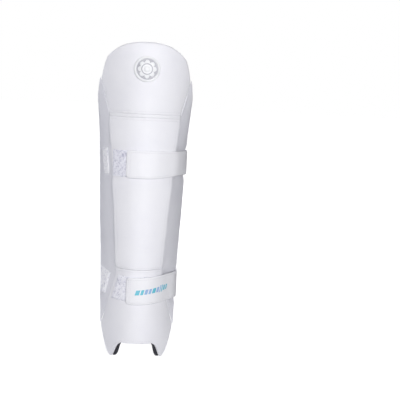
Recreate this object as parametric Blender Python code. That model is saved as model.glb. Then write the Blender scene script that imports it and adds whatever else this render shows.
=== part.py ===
"""Cricket wicket-keeping leg pad: a moulded leg guard in three padded sections
(knee, shin, instep flap) with two side wings and two wrap-round straps.

Frame: +Z up the leg, the front of the pad faces -Y, the leg stands at +Y, left is -X,
and the origin is the centre of the flat face of the cushion that bears on the shin.
Dimensions are millimetres, measured from a point on the centre plane at the height of
the prong tips; ORIGIN moves them to the part's own frame.
"""

import math

import bmesh
import bpy
import numpy as np
from mathutils import Vector

# ---------------------------------------------------------------- dimensions
MM = 0.001
PAD_HEIGHT = 600.0
KNEE_SEAM_Z = 463.0        # flex line between knee and shin sections
SHIN_SEAM_Z = 174.0        # sewn line between shin and ankle covers
FLAP_HINGE_Z = 105.5       # flex line of the instep flap
APEX_Z = 533.0             # top of the side gussets
CORNER_Z = 572.0           # where the rounded top meets the sides
CUTOUT_Z = 27.0            # height of the instep cut-out
SEAM_GAP = 9.0             # open channel between knee and shin covers
FLAP_GAP = 5.0             # open channel between ankle and instep covers
SEAM_EDGE = 1.0            # cover edge to the sewn line, each side
FOLD_EDGE = 3.5            # cover edge to fold line, each side
SHIN_CUSHION_Z = (192.0, 436.0)
CUSHION_BACK_Y = -31.0
STRAP_WIDTH = 52.0
STRAP_T = 2.2
UPPER_STRAP_Z = (348.5, 348.5 + STRAP_WIDTH)
LOWER_STRAP_Z = (110.0, 110.0 + STRAP_WIDTH)

ORIGIN = Vector((0.0, CUSHION_BACK_Y, sum(SHIN_CUSHION_Z) / 2))
KNEE_ORIGIN = Vector((0.0, -46.0, KNEE_SEAM_Z))
FLAP_ORIGIN = Vector((0.0, -56.0, FLAP_HINGE_Z))
SIDES = (("left", -1), ("right", 1))

# Layers as (outer depth, inner depth) below the cover surface; negative depths stand above it.
GAP = 0.5                  # air between neighbouring layers
FACE = (0.0, 1.6)
PLATE = (FACE[1] + GAP, 3.6)
KNEE_PLATE = (PLATE[0] + 0.2, PLATE[1])
CORE = (PLATE[1] + GAP, 12.5)
LINING = (CORE[1] + GAP, 14.6)
LOW_CORE = (FACE[1] + GAP, 10.5)
LOW_LINING = (LOW_CORE[1] + GAP, 12.6)
WING_FACE = (0.0, 1.4)
WING_CORE = (WING_FACE[1] + GAP, 8.5)
WING_LINING = (WING_CORE[1] + GAP, 10.4)
KNEE_STRIP = (2.9, 3.8)
INSTEP_STRIP = (2.2, 3.0)
FOLD_STRIP = (2.0, 2.8)
GUSSET = (0.0, 3.0)
FRONT_PATCH = (-0.4, -1.3)
WING_PATCH = (-0.7, -1.6)
BINDING = (0.5, 1.7)       # tape faces, measured outwards from the bound edge

# ---------------------------------------------------------------- surface tables: (z, value)
CENTRE_Y = [(0, -60), (40, -61.5), (110, -60), (172, -58.5), (300, -58.5), (400, -60),
            (463, -62.5), (530, -65), (570, -63), (600, -59)]
# y gained per x squared
CURVATURE = [(0, 0.0100), (110, 0.0108), (172, 0.0106), (300, 0.0079), (400, 0.0070),
             (463, 0.0067), (533, 0.0060), (600, 0.0057)]
# half-width of the front panel at the fold line
FOLD_X_LOWER = [(58, 70.5), (162, 44.6)]
FOLD_X_UPPER = [(162, 44.6), (221, 47.4), (252, 49.7), (289, 52.2), (336, 56.4), (414, 62.7),
                (463, 67.6)]
FOLD_X_KNEE = [(463, 67.6), (533, 86.5)]
KNEE_SIDE_TOP = [(533, 86.5), (545, 85.2), (560, 82.0), (572, 77.6)]
# rear edge of a wing: its x, and how far it lies behind the fold line
WING_X = [(58, 72.0), (83, 74.4), (120, 75.4), (174, 76.4), (210, 77.8), (268, 80.3),
          (335, 82.4), (404, 84.8), (463, 88.2), (505, 90.6), (533, 87.3)]
WING_DEPTH = [(58, 0), (75, 8), (100, 22), (130, 38), (162, 50), (214, 56), (300, 57),
              (350, 54), (400, 46), (440, 34), (463, 25), (500, 13), (533, 1)]
WING_BULGE = 2.0           # outward bow at mid-wing
FULL_BULGE_LENGTH = 40.0   # shorter wing sections bow less


# ---------------------------------------------------------------- surfaces
def smooth(table, z):
    """Monotone cubic through a table of (z, value), held constant past its ends."""
    heights, values = np.array(table, float).T
    if z <= heights[0]:
        return float(values[0])
    if z >= heights[-1]:
        return float(values[-1])
    widths = np.diff(heights)
    slopes = np.diff(values) / widths
    tangents = np.zeros(len(heights))
    tangents[0], tangents[-1] = slopes[0], slopes[-1]
    for k in range(1, len(heights) - 1):
        below, above = slopes[k - 1], slopes[k]
        if below * above > 0:
            weight_below = 2 * widths[k] + widths[k - 1]
            weight_above = widths[k] + 2 * widths[k - 1]
            total = weight_below + weight_above
            tangents[k] = total / (weight_below / below + weight_above / above)
    i = int(np.searchsorted(heights, z) - 1)
    t = (z - heights[i]) / widths[i]
    return float((2 * t**3 - 3 * t**2 + 1) * values[i]
                 + (t**3 - 2 * t**2 + t) * widths[i] * tangents[i]
                 + (-2 * t**3 + 3 * t**2) * values[i + 1]
                 + (t**3 - t**2) * widths[i] * tangents[i + 1])


def linear(table, z):
    return float(np.interp(z, *zip(*table)))


def blend(start, end, t):
    return start + (end - start) * t


def fold_x(z):
    """Half-width of the front panel at the fold line."""
    if z < FOLD_X_UPPER[0][0]:
        return linear(FOLD_X_LOWER, z)
    if z < KNEE_SEAM_Z:
        return smooth(FOLD_X_UPPER, z)
    return linear(FOLD_X_KNEE, z)


def knee_side_x(z):
    return fold_x(z) if z < APEX_Z else smooth(KNEE_SIDE_TOP, z)


def cover_y(x, z):
    return smooth(CENTRE_Y, z) + smooth(CURVATURE, z) * x * x


def front(x, z, depth=0.0):
    """A point of the front shell: x across, z up, depth below the cover."""
    step = 0.5
    slope_x = (cover_y(x + step, z) - cover_y(x - step, z)) / (2 * step)
    slope_z = (cover_y(x, z + step) - cover_y(x, z - step)) / (2 * step)
    normal = Vector((slope_x, -1.0, slope_z)).normalized()
    return Vector((x, cover_y(x, z), z)) - normal * depth


def wing_length(z):
    """Distance in plan from the fold line to the wing's rear edge."""
    return math.hypot(smooth(WING_X, z) - fold_x(z), smooth(WING_DEPTH, z))


def wing_base(t, z):
    """A point of the right wing's cover surface."""
    fold, rearward = fold_x(z), smooth(WING_DEPTH, z)
    sideways = smooth(WING_X, z) - fold
    length = wing_length(z)
    outwards = Vector((rearward / length, -sideways / length, 0.0))
    bulge = WING_BULGE * min(1.0, length / FULL_BULGE_LENGTH) * 4 * t * (1 - t)
    flat = Vector((fold + sideways * t, cover_y(fold, z) + rearward * t, z))
    return flat + outwards * bulge


def wing(side, t, z, depth=0.0):
    """A point of a side wing: t runs from the fold line (0) to the rear edge (1)."""
    step_t, step_z = 0.02, 1.0
    along = wing_base(t + step_t, z) - wing_base(t - step_t, z)
    up = wing_base(t, z + step_z) - wing_base(t, z - step_z)
    point = wing_base(t, z) - along.cross(up).normalized() * depth
    return Vector((side * point.x, point.y, point.z))


def wing_at(side, distance, z, depth):
    """A point of a side wing at a distance behind the fold line."""
    return wing(side, distance / wing_length(z), z, depth)


def wing_origin(side):
    """Middle of the fold line, taken as a straight hinge."""
    low, high = (front(side * fold_x(z), z, 2.4) for z in (165.0, 455.0))
    return (low + high) / 2


# ---------------------------------------------------------------- materials
SOFT_WHITE = (0.80, 0.80, 0.84)
BLACK = (0.02, 0.02, 0.025)


def material(name, colour, roughness):
    mat = bpy.data.materials.new(name)
    mat.use_nodes = True
    shader = mat.node_tree.nodes["Principled BSDF"]
    shader.inputs["Base Color"].default_value = (*colour, 1.0)
    shader.inputs["Roughness"].default_value = roughness
    shader.inputs["Metallic"].default_value = 0.0
    mat.diffuse_color = (*colour, 1.0)
    return mat


pu_white = material("pu_leather_white", colour=(0.86, 0.86, 0.89), roughness=0.42)
pu_binding = material("pu_binding", colour=SOFT_WHITE, roughness=0.45)
loop_tape = material("loop_tape", colour=(0.78, 0.78, 0.83), roughness=0.95)
hook_tape = material("hook_tape", colour=SOFT_WHITE, roughness=0.85)
foam = material("eva_foam", colour=(0.62, 0.64, 0.68), roughness=0.8)
plastic = material("pp_board", colour=(0.75, 0.77, 0.80), roughness=0.5)
mesh_black = material("lining_mesh", colour=BLACK, roughness=0.9)
cushion_black = material("cushion_cloth", colour=BLACK, roughness=0.9)
elastic = material("elastic_web", colour=SOFT_WHITE, roughness=0.8)
rubber = material("badge_rubber", colour=(0.82, 0.83, 0.85), roughness=0.5)


# ---------------------------------------------------------------- sheets: (parameter points, faces)
def spread(low, high, steps):
    return [low + (high - low) * i / steps for i in range(steps + 1)]


def grid(across, up):
    params = [(a, b) for b in up for a in across]
    n = len(across)
    faces = [(j * n + i, j * n + i + 1, (j + 1) * n + i + 1, (j + 1) * n + i)
             for j in range(len(up) - 1) for i in range(n - 1)]
    return params, faces


def circle(radius, segments):
    angles = [2 * math.pi * s / segments for s in range(segments)]
    return [(radius * math.cos(angle), radius * math.sin(angle)) for angle in angles]


def disc(radius, rings, segments):
    params, faces = [(0.0, 0.0)], []
    for k in range(1, rings + 1):
        params += circle(radius * k / rings, segments)
    for s in range(segments):
        faces.append((0, 1 + s, 1 + (s + 1) % segments))
    for k in range(1, rings):
        inner, outer = 1 + (k - 1) * segments, 1 + k * segments
        for s in range(segments):
            after = (s + 1) % segments
            faces.append((inner + s, outer + s, outer + after, inner + after))
    return params, faces


def annulus(inner, outer, segments):
    params = circle(inner, segments) + circle(outer, segments)
    faces = [(s, segments + s, segments + (s + 1) % segments, (s + 1) % segments)
             for s in range(segments)]
    return params, faces


# ---------------------------------------------------------------- solids
def finish(name, shape, mat, origin):
    """Turn a bmesh in drawing millimetres into an object with the given origin."""
    bmesh.ops.recalc_face_normals(shape, faces=shape.faces)
    mesh = bpy.data.meshes.new(name)
    shape.to_mesh(mesh)
    shape.free()
    for vert in mesh.vertices:
        vert.co = vert.co * MM - origin * MM
    mesh.shade_smooth()
    mesh.set_sharp_from_angle(angle=math.radians(35))
    mesh.materials.append(mat)
    obj = bpy.data.objects.new(name, mesh)
    bpy.context.scene.collection.objects.link(obj)
    obj.location = (origin - ORIGIN) * MM


def sheet_solid(name, sheet, place, layer, mat, origin=ORIGIN):
    """Lay a sheet at the layer's first level and extrude it to the second.

    place(a, b, level) gives the point for a parameter pair (a, b).
    """
    params, faces = sheet
    shape = bmesh.new()
    tag = shape.verts.layers.int.new("tag")   # survives extrusion, so new points find their pair
    verts = []
    for i, (a, b) in enumerate(params):
        vert = shape.verts.new(place(a, b, layer[0]))
        vert[tag] = i
        verts.append(vert)
    made = [shape.faces.new([verts[i] for i in face]) for face in faces]
    grown = bmesh.ops.extrude_face_region(shape, geom=made)
    for item in grown["geom"]:
        if isinstance(item, bmesh.types.BMVert):
            a, b = params[item[tag]]
            item.co = place(a, b, layer[1])
    bmesh.ops.reverse_faces(shape, faces=made)
    finish(name, shape, mat, origin)


def fold_panel(name, z_range, columns, rows, margin, layer, mat):
    """A front panel held back from both fold lines by a margin."""
    def place(u, z, depth):
        return front(u * (fold_x(z) - margin), z, depth)
    sheet_solid(name, grid(spread(-1, 1, columns), spread(*z_range, rows)), place, layer, mat)


def cushion(name, half_width, z_range, rows, lining, back_y, origin=ORIGIN):
    """A cushion that follows the lining in front and is flat behind."""
    def place(u, z, is_back):
        point = front(u * half_width, z, lining[1] + GAP)
        return Vector((point.x, back_y, point.z)) if is_back else point
    sheet = grid(spread(-1, 1, 6), spread(*z_range, rows))
    sheet_solid(name, sheet, place, (0, 1), cushion_black, origin)


def edge_band(name, outline, inner_depth, origin):
    """A binding tape on a front panel's edge: outline in (x, z), its outside on the left."""
    normals = []
    last = len(outline) - 1
    for i in range(len(outline)):
        before, after = outline[max(0, i - 1)], outline[min(last, i + 1)]
        dx, dz = after[0] - before[0], after[1] - before[1]
        length = math.hypot(dx, dz)
        normals.append((-dz / length, dx / length))

    def place(i, depth, offset):
        (x, z), (normal_x, normal_z) = outline[i], normals[i]
        return front(x + normal_x * offset, z + normal_z * offset, depth)
    sheet = grid(range(len(outline)), [-0.4, inner_depth])
    sheet_solid(name, sheet, place, BINDING, pu_binding, origin)


def strap_rows(strap_z, bottom, top, steps):
    """Heights across a strap, with its lower and upper edges shifted."""
    return spread(strap_z[0] + bottom, strap_z[1] + top, steps)


# ---------------------------------------------------------------- start clean
for old in list(bpy.data.objects):
    bpy.data.objects.remove(old, do_unlink=True)

# ---------------------------------------------------------------- shin and ankle (the fixed body)
SHIN_TOP = KNEE_SEAM_Z - SEAM_GAP / 2
SHIN_BOTTOM = SHIN_SEAM_Z + SEAM_EDGE
ANKLE_TOP = SHIN_SEAM_Z - SEAM_EDGE
ANKLE_BOTTOM = FLAP_HINGE_Z + FLAP_GAP / 2

# name, layer, inset from the cover's edges, material
for name, layer, inset, mat in (("shin_face", FACE, 0.0, pu_white),
                                ("shin_plate", PLATE, 6.0, plastic),
                                ("shin_core", CORE, 5.0, foam),
                                ("shin_lining", LINING, 5.5, mesh_black)):
    fold_panel(name, (SHIN_BOTTOM + inset, SHIN_TOP - inset), 9, 8, FOLD_EDGE + inset, layer, mat)

for name, layer, inset, mat in (("ankle_face", FACE, 0.0, pu_white),
                                ("ankle_core", LOW_CORE, 5.0, foam),
                                ("ankle_lining", LOW_LINING, 5.5, mesh_black)):
    fold_panel(name, (ANKLE_BOTTOM + inset, ANKLE_TOP - inset * 0.4), 8, 4,
               FOLD_EDGE + inset, layer, mat)

# flexible strips under the open channels
fold_panel("knee_hinge_strip", (455.5, 465.0), 9, 1, 5.0, KNEE_STRIP, pu_binding)
fold_panel("instep_hinge_strip", (106.0, 112.5), 8, 1, 9.0, INSTEP_STRIP, pu_binding)


def fold_strip(word, side):
    """A strip that lies under the shin cover's edge, then turns along the wing."""
    def place(distance, z, depth):
        if distance > 0:
            return wing_at(side, distance, z, depth)
        return front(side * (fold_x(z) + distance), z, depth)
    # signed distances from the fold line
    sheet = grid([-4.6, -0.3, 2.9], spread(182.0, 452.0, 9))
    sheet_solid(f"{word}_fold_strip", sheet, place, FOLD_STRIP, pu_binding)


for word, side in SIDES:
    fold_strip(word, side)

cushion("shin_cushion", 38.0, SHIN_CUSHION_Z, 5, LINING, CUSHION_BACK_Y)
cushion("ankle_cushion", 23.0, (119.0, 164.0), 3, LOW_LINING, -35.0)


# loop patches on the covers
def lower_patch_place(u, z, depth):
    return front(blend(-(fold_x(z) - 5.0), 30.0, u), z, depth)


sheet_solid("upper_loop_patch", grid(spread(-53.0, 34.0, 8), strap_rows(UPPER_STRAP_Z, 1, -1, 3)),
            front, FRONT_PATCH, loop_tape)
sheet_solid("lower_loop_patch", grid(spread(0, 1, 8), strap_rows(LOWER_STRAP_Z, 3, -1, 3)),
            lower_patch_place, FRONT_PATCH, loop_tape)

# ---------------------------------------------------------------- knee section
KNEE_BOTTOM = KNEE_SEAM_Z + SEAM_GAP / 2
KNEE_EDGE = 1.2            # cover edge to fold line, below the apex
ROLL_HALF_WIDTH = 58.0
ROLL_EDGE_T = 3.0          # thickness at the edge of a roll
ROLL_CROWN = 9.0           # extra thickness in the middle
GUSSET_START = 1.6         # gusset's front edge behind the fold line
BADGE_Z = 550.0
BADGE_R = 25.0


def knee_xz(u, v, inset):
    """The knee panel: sides follow the fold line and the outline, the top is a flat arch."""
    low = KNEE_BOTTOM + inset
    side_z = low + v * (CORNER_Z - KNEE_BOTTOM - 1.6 * inset)
    centre_z = low + v * (PAD_HEIGHT - KNEE_BOTTOM - 2.0 * inset)
    edge = KNEE_EDGE if side_z < APEX_Z else 0.0
    x = u * (knee_side_x(side_z) - edge - inset)
    return x, side_z + (centre_z - side_z) * (1 - abs(u) ** 3)


def knee_panel(name, layer, inset, mat):
    def place(u, v, depth):
        return front(*knee_xz(u, v, inset), depth)
    sheet_solid(name, grid(spread(-1, 1, 12), spread(0, 1, 6)), place, layer, mat, KNEE_ORIGIN)


knee_panel("knee_face", FACE, 0.0, pu_white)
knee_panel("knee_plate", KNEE_PLATE, 9.0, plastic)
knee_panel("knee_core", CORE, 4.0, foam)
knee_panel("knee_lining", LINING, 4.5, mesh_black)


def knee_roll(name, low, high):
    """A crosswise cushion roll behind the knee lining."""
    def place(u, z, is_back):
        x, depth = u * ROLL_HALF_WIDTH, LINING[1] + GAP
        if not is_back:
            return front(x, z, depth)
        height = (z - low) / (high - low)
        crown = math.sqrt(1 - (2 * height - 1) ** 4) * (1 - 0.75 * u**4)
        return front(x * 0.97, z, depth + ROLL_EDGE_T + ROLL_CROWN * crown)
    sheet = grid(spread(-1, 1, 8), spread(low, high, 4))
    sheet_solid(name, sheet, place, (0, 1), cushion_black, KNEE_ORIGIN)


knee_roll("knee_roll_lower", 478.0, 514.0)
knee_roll("knee_roll_upper", 519.0, 555.0)


def knee_binding():
    """Tape round the free edge of the knee, from apex to apex."""
    side_heights = spread(APEX_Z + 3, CORNER_Z, 3)
    outline = [(-knee_side_x(z), z) for z in side_heights]
    outline += [knee_xz(u, 1.0, 0.0) for u in spread(-1, 1, 14)[1:-1]]
    outline += [(knee_side_x(z), z) for z in reversed(side_heights)]
    edge_band("knee_binding", outline, LINING[1], KNEE_ORIGIN)


def gusset(word, side):
    """The panel closing one side of the knee, above the wing."""
    def place(k, z, depth):
        return wing_at(side, blend(GUSSET_START, wing_length(z), k), z, depth)
    sheet = grid(spread(0, 1, 3), spread(473.5, 522.0, 4))
    sheet_solid(f"{word}_gusset", sheet, place, GUSSET, pu_white, KNEE_ORIGIN)


def badge_piece(name, sheet, layer):
    """A piece of the round badge, bent to the cover it sits on."""
    def place(x, up, depth):
        return front(x, BADGE_Z + up, depth)
    sheet_solid(name, sheet, place, layer, rubber, KNEE_ORIGIN)


knee_binding()
for word, side in SIDES:
    gusset(word, side)
badge_piece("badge_base", disc(BADGE_R, 2, 24), (-0.4, -1.8))
badge_piece("badge_ring", annulus(BADGE_R - 4.6, BADGE_R - 0.6, 32), (-2.1, -3.6))
badge_piece("badge_boss", disc(12.0, 2, 24), (-2.1, -3.8))

# ---------------------------------------------------------------- instep flap
FLAP_TOP = FLAP_HINGE_Z - FLAP_GAP / 2

# lower outlines from the centre out: share u across the flap, then x and z
FLAP_OUTLINE = [
    (0.0, 0.0, CUTOUT_Z), (0.44, 29.5, CUTOUT_Z), (0.49, 33.0, 21.5), (0.55, 38.0, 11.0),
    (0.61, 42.5, 3.0), (0.65, 46.0, 0.4), (0.70, 51.5, 1.4), (0.77, 57.0, 6.8),
    (0.85, 61.8, 18.0), (0.93, 66.4, 33.0), (1.0, 70.4, 52.0)]
LINING_OUTLINE = [
    (0.0, 0.0, CUTOUT_Z + 2.5), (0.42, 28.2, CUTOUT_Z + 2.5), (0.47, 30.8, 24.0),
    (0.52, 33.2, 14.0), (0.57, 36.2, 5.0), (0.60, 38.6, 1.6), (0.63, 43.0, 1.0),
    (0.70, 49.6, 3.2), (0.77, 55.2, 9.2), (0.85, 60.2, 20.0), (0.93, 64.6, 34.5),
    (1.0, 68.8, 52.0)]
CUTOUT_END_U = 0.45        # where the cut-out turns down into a prong
PRONG_TIP_U = 0.65


def shrink(outline, amount):
    """The flap outline moved up and in, for a layer that stops short of the edge."""
    shrunk = []
    for u, x, z in outline:
        if u <= CUTOUT_END_U:
            shrunk.append((u, x, z + amount))
            continue
        down_prong = min(1.0, (u - CUTOUT_END_U) / (PRONG_TIP_U - CUTOUT_END_U))
        past_tip = max(0.0, (u - PRONG_TIP_U) / (1 - PRONG_TIP_U))
        shift = amount * 0.9 * (1 - down_prong - past_tip)
        shrunk.append((u, x + shift, z + amount * 1.2))
    return shrunk


def flap_panel(name, layer, outline, top, margin, mat):
    """A layer of the flap, from a straight top edge down to its outline."""
    shares, outline_x, outline_z = zip(*outline)
    right = [0.0, 0.15, 0.3, *shares[1:]]
    columns = [-u for u in reversed(right[1:])] + right

    def place(u, v, depth):
        share = abs(u)
        top_x = share * (fold_x(top) - margin)
        x = top_x * (1 - v) + float(np.interp(share, shares, outline_x)) * v
        z = top * (1 - v) + float(np.interp(share, shares, outline_z)) * v
        return front(math.copysign(x, u), z, depth)
    sheet_solid(name, grid(columns, spread(0, 1, 4)), place, layer, mat, FLAP_ORIGIN)


def instep_binding():
    """Tape round the lower edge, from the right top corner to the left."""
    right = [(x, z) for _, x, z in reversed(FLAP_OUTLINE[1:])]
    left = [(-x, z) for x, z in reversed(right)]
    edge_band("instep_binding", right + left, LOW_CORE[1], FLAP_ORIGIN)


flap_panel("instep_face", FACE, FLAP_OUTLINE, FLAP_TOP, FOLD_EDGE, pu_white)
flap_panel("instep_core", LOW_CORE, shrink(FLAP_OUTLINE, 4.0), FLAP_TOP - 5.0,
           FOLD_EDGE + 4.0, foam)
flap_panel("instep_lining", LOW_LINING, LINING_OUTLINE, FLAP_TOP - 5.0,
           FOLD_EDGE + 4.5, mesh_black)
cushion("instep_cushion", 30.0, (54.0, 97.0), 3, LOW_LINING, -38.0, FLAP_ORIGIN)
instep_binding()

# ---------------------------------------------------------------- side wings
WING_BOTTOM, WING_TOP = 80.0, 456.0
WING_PATCH_START = 8.0     # patch's front edge behind the fold line
UPPER_PATCH_WIDTH = 26.0


def wing_panel(name, side, layer, inset, mat):
    def place(k, z, depth):
        distance = blend(FOLD_EDGE + inset, wing_length(z) - 0.6 * inset, k)
        return wing_at(side, distance, z, depth)
    sheet = grid(spread(0, 1, 4), spread(WING_BOTTOM + inset * 1.6, WING_TOP - inset, 11))
    sheet_solid(name, sheet, place, layer, mat, wing_origin(side))


def wing_binding(word, side):
    """Tape standing on the wing's rear edge."""
    def place(depth, z, offset):
        return wing_at(side, wing_length(z) + offset, z, depth)
    sheet = grid([-0.3, WING_LINING[1]], spread(WING_BOTTOM + 4, WING_TOP - 2, 12))
    sheet_solid(f"{word}_wing_binding", sheet, place, BINDING, pu_binding, wing_origin(side))


def left_wing_patch(name, rows, end_distance):
    """A loop patch on the left wing's cover; end_distance(z) gives its rear edge."""
    def place(k, z, depth):
        return wing_at(-1, blend(WING_PATCH_START, end_distance(z), k), z, depth)
    sheet_solid(name, grid(spread(0, 1, 3), rows), place, WING_PATCH, loop_tape, wing_origin(-1))


for word, side in SIDES:
    wing_panel(f"{word}_wing_face", side, WING_FACE, 0.0, pu_white)
    wing_panel(f"{word}_wing_core", side, WING_CORE, 4.5, foam)
    wing_panel(f"{word}_wing_lining", side, WING_LINING, 5.0, mesh_black)
    wing_binding(word, side)

left_wing_patch("left_upper_loop_patch", strap_rows(UPPER_STRAP_Z, 3, 1, 3),
                lambda z: WING_PATCH_START + UPPER_PATCH_WIDTH)
left_wing_patch("left_lower_loop_patch", strap_rows(LOWER_STRAP_Z, 3, 3, 3),
                lambda z: 0.9 * wing_length(z))

# ---------------------------------------------------------------- straps
HINGE_REACH = 9.0          # hinge behind the wing's rear edge
HINGE_OUT = 3.6            # right hinge outside the wing's rear edge
HINGE_GAP = 2.6            # hinge to the strap end on either side
TAB_OFFSET = 2.9           # tab's inner face off the pad's plan line
HOOK_LAYER = (1.75, 2.55)  # hook patch faces off the same line
HOOK_LENGTH = 44.0
ROOT_DEPTH = WING_LINING[1] + 2.4
# root stations as shares of the wing; the one above 1 stands for the end near the hinge
ROOT_STATIONS = [0.34, 0.55, 0.78, 0.98, 2.0]
# band behind the leg: x as a share of its half-width, y from its rearmost point
BAND_KNOTS = [(-0.78, -15.0), (-0.4, -2.5), (0.0, 0.0), (0.42, -2.5), (0.82, -16.0)]


def hull_front(points):
    """The front side of the convex hull of plan points, from leftmost to rightmost."""
    def turn(start, a, b):
        return ((a[0] - start[0]) * (b[1] - start[1])
                - (a[1] - start[1]) * (b[0] - start[0]))
    chain = []
    for point in sorted(set(points)):
        while len(chain) >= 2 and turn(chain[-2], chain[-1], point) <= 0:
            chain.pop()
        chain.append(point)
    return chain


def pad_plan(z_range, x_start):
    """Where a strap lies on the pad: the convex line round its front and right side."""
    points = []
    for z in spread(*z_range, 4):
        points += [(round(x, 3), round(cover_y(x, z), 3)) for x in spread(x_start, fold_x(z), 12)]
        wing_points = [wing(1, t, z) for t in spread(0.1, 1.0, 6)]
        points += [(round(p.x, 3), round(p.y, 3)) for p in wing_points]
    limit = x_start + 0.01
    first = min((p for p in points if p[0] <= limit), key=lambda p: p[1])
    chain = hull_front([first] + [p for p in points if p[0] > limit])
    return [Vector((x, y, 0)) for x, y in chain]


def resample(path, step):
    """Evenly spaced points along a path, about a step apart."""
    lengths = [0.0]
    for a, b in zip(path, path[1:]):
        lengths.append(lengths[-1] + (b - a).length)
    count = round(lengths[-1] / step)
    points = []
    for i in range(count + 1):
        target = lengths[-1] * i / count
        k = min(int(np.searchsorted(lengths, target, side="right")) - 1, len(path) - 2)
        t = (target - lengths[k]) / (lengths[k + 1] - lengths[k])
        points.append(path[k].lerp(path[k + 1], t))
    return points


def rounded(path, passes):
    """Chaikin corner cutting with both ends kept."""
    for _ in range(passes):
        cut = [path[0]]
        for a, b in zip(path, path[1:]):
            cut += [a.lerp(b, 0.25), a.lerp(b, 0.75)]
        path = cut + [path[-1]]
    return path


def right_normals(path):
    """Unit normals to the right of the direction of travel, in plan."""
    normals = []
    for i in range(len(path)):
        before, after = path[max(0, i - 1)], path[min(len(path) - 1, i + 1)]
        travel = (after - before).normalized()
        normals.append(Vector((travel.y, -travel.x, 0)))
    return normals


def ribbon(name, path, normals, offsets, heights, mat, origin):
    """A standing ribbon: a plan path thickened between two offsets along its normals."""
    def place(i, z, offset):
        point = path[i] + normals[i] * offset
        return Vector((point.x, point.y, z))
    sheet_solid(name, grid(range(len(path)), heights), place, offsets, mat, origin)


def strap_tab(prefix, z_range, chain, hinge):
    """The tab round the right side to the front, and the hook patch under its end."""
    path = resample(chain, 10.0)
    normals = right_normals(path)
    normals[-1] = Vector((1, -0.12, 0)).normalized()
    end = Vector((hinge.x - TAB_OFFSET - STRAP_T / 2, hinge.y - HINGE_GAP, 0))
    ribbon(f"{prefix}_strap_tab", path + [end], normals + [Vector((1, 0, 0))],
           (TAB_OFFSET, TAB_OFFSET + STRAP_T), spread(*z_range, 2), pu_white, hinge)
    hook = [p for p in path if (p - path[0]).length < HOOK_LENGTH]
    hook[0] = path[0].lerp(path[1], 0.25)
    ribbon(f"{prefix}_hook_patch", hook, right_normals(hook), HOOK_LAYER,
           strap_rows(z_range, 2, -2, 1), hook_tape, hinge)


def strap_root(prefix, z_range, hinge, along):
    """The root lying inside the left wing and running on past its rear edge."""
    inwards = Vector((along.y, -along.x, 0))

    def place(t, z, offset):
        if t <= 1:
            return wing(-1, t, z, ROOT_DEPTH + offset)
        point = hinge - along * HINGE_GAP + inwards * offset
        return Vector((point.x, point.y, z))
    sheet_solid(f"{prefix}_strap_root", grid(ROOT_STATIONS, spread(*z_range, 2)), place,
                (0.0, STRAP_T), elastic)


def strap_anchor(prefix, z_range, lining):
    """The anchor on the lining, beside the left fold line."""
    def place(margin, z, depth):
        return front(-(fold_x(z) - margin), z, depth)
    margins = spread(FOLD_EDGE + 6.5, FOLD_EDGE + 14.9, 2)
    sheet_solid(f"{prefix}_strap_anchor", grid(margins, strap_rows(z_range, 4, -4, 2)), place,
                (lining[1] + 0.4, lining[1] + 1.8), elastic)


def strap_band(prefix, z_range, start, stop, calf_y, half_width, origin):
    """The elastic band behind the leg."""
    knots = [start, start + Vector((-1.0, 16.0, 0))]
    knots += [Vector((half_width * share, calf_y + dy, 0)) for share, dy in BAND_KNOTS]
    knots += [stop + Vector((1.0, 16.0, 0)), stop]
    path = resample(rounded(knots, 3), 11.0)
    ribbon(f"{prefix}_strap_band", path, right_normals(path), (-STRAP_T / 2, STRAP_T / 2),
           spread(*z_range, 2), elastic, origin)


def strap(prefix, z_range, lining, tab_end_x, calf_y, half_width):
    chain = rounded(pad_plan(z_range, tab_end_x), 1)
    hinge_right = chain[-1] + Vector((HINGE_OUT, HINGE_REACH, 0))
    inside, rear = (wing(-1, t, sum(z_range) / 2, ROOT_DEPTH) for t in (0.9, 1.0))
    along = Vector((rear.x - inside.x, rear.y - inside.y, 0)).normalized()
    hinge_left = Vector((rear.x, rear.y, 0)) + along * HINGE_REACH

    strap_tab(prefix, z_range, chain, hinge_right)
    strap_root(prefix, z_range, hinge_left, along)
    strap_anchor(prefix, z_range, lining)
    strap_band(prefix, z_range, hinge_left + along * HINGE_GAP,
               hinge_right + Vector((0.0, HINGE_GAP, 0)), calf_y, half_width, hinge_left)


strap("upper", UPPER_STRAP_Z, LINING, tab_end_x=-30.0, calf_y=80.0, half_width=78.0)
strap("lower", LOWER_STRAP_Z, LOW_LINING, tab_end_x=-21.5, calf_y=60.0, half_width=68.0)
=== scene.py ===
"""Looks for a cricket leg pad: soft covers, linings, cushions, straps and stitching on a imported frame.

The pad stands upright with its cover towards -Y, and "left" is its -X side. Lengths are millimetres in
the drawing frame of the part (centre plane at x = 0, prong tips at z = 0). They are moved to the part's
own frame, in metres about the back of the shin cushion, when a mesh is made. Depths run inwards from
the cover, so a negative depth stands proud of it.
"""

import math
from collections import namedtuple

import bpy
import bmesh
import numpy as np
from mathutils import Matrix, Vector

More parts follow.
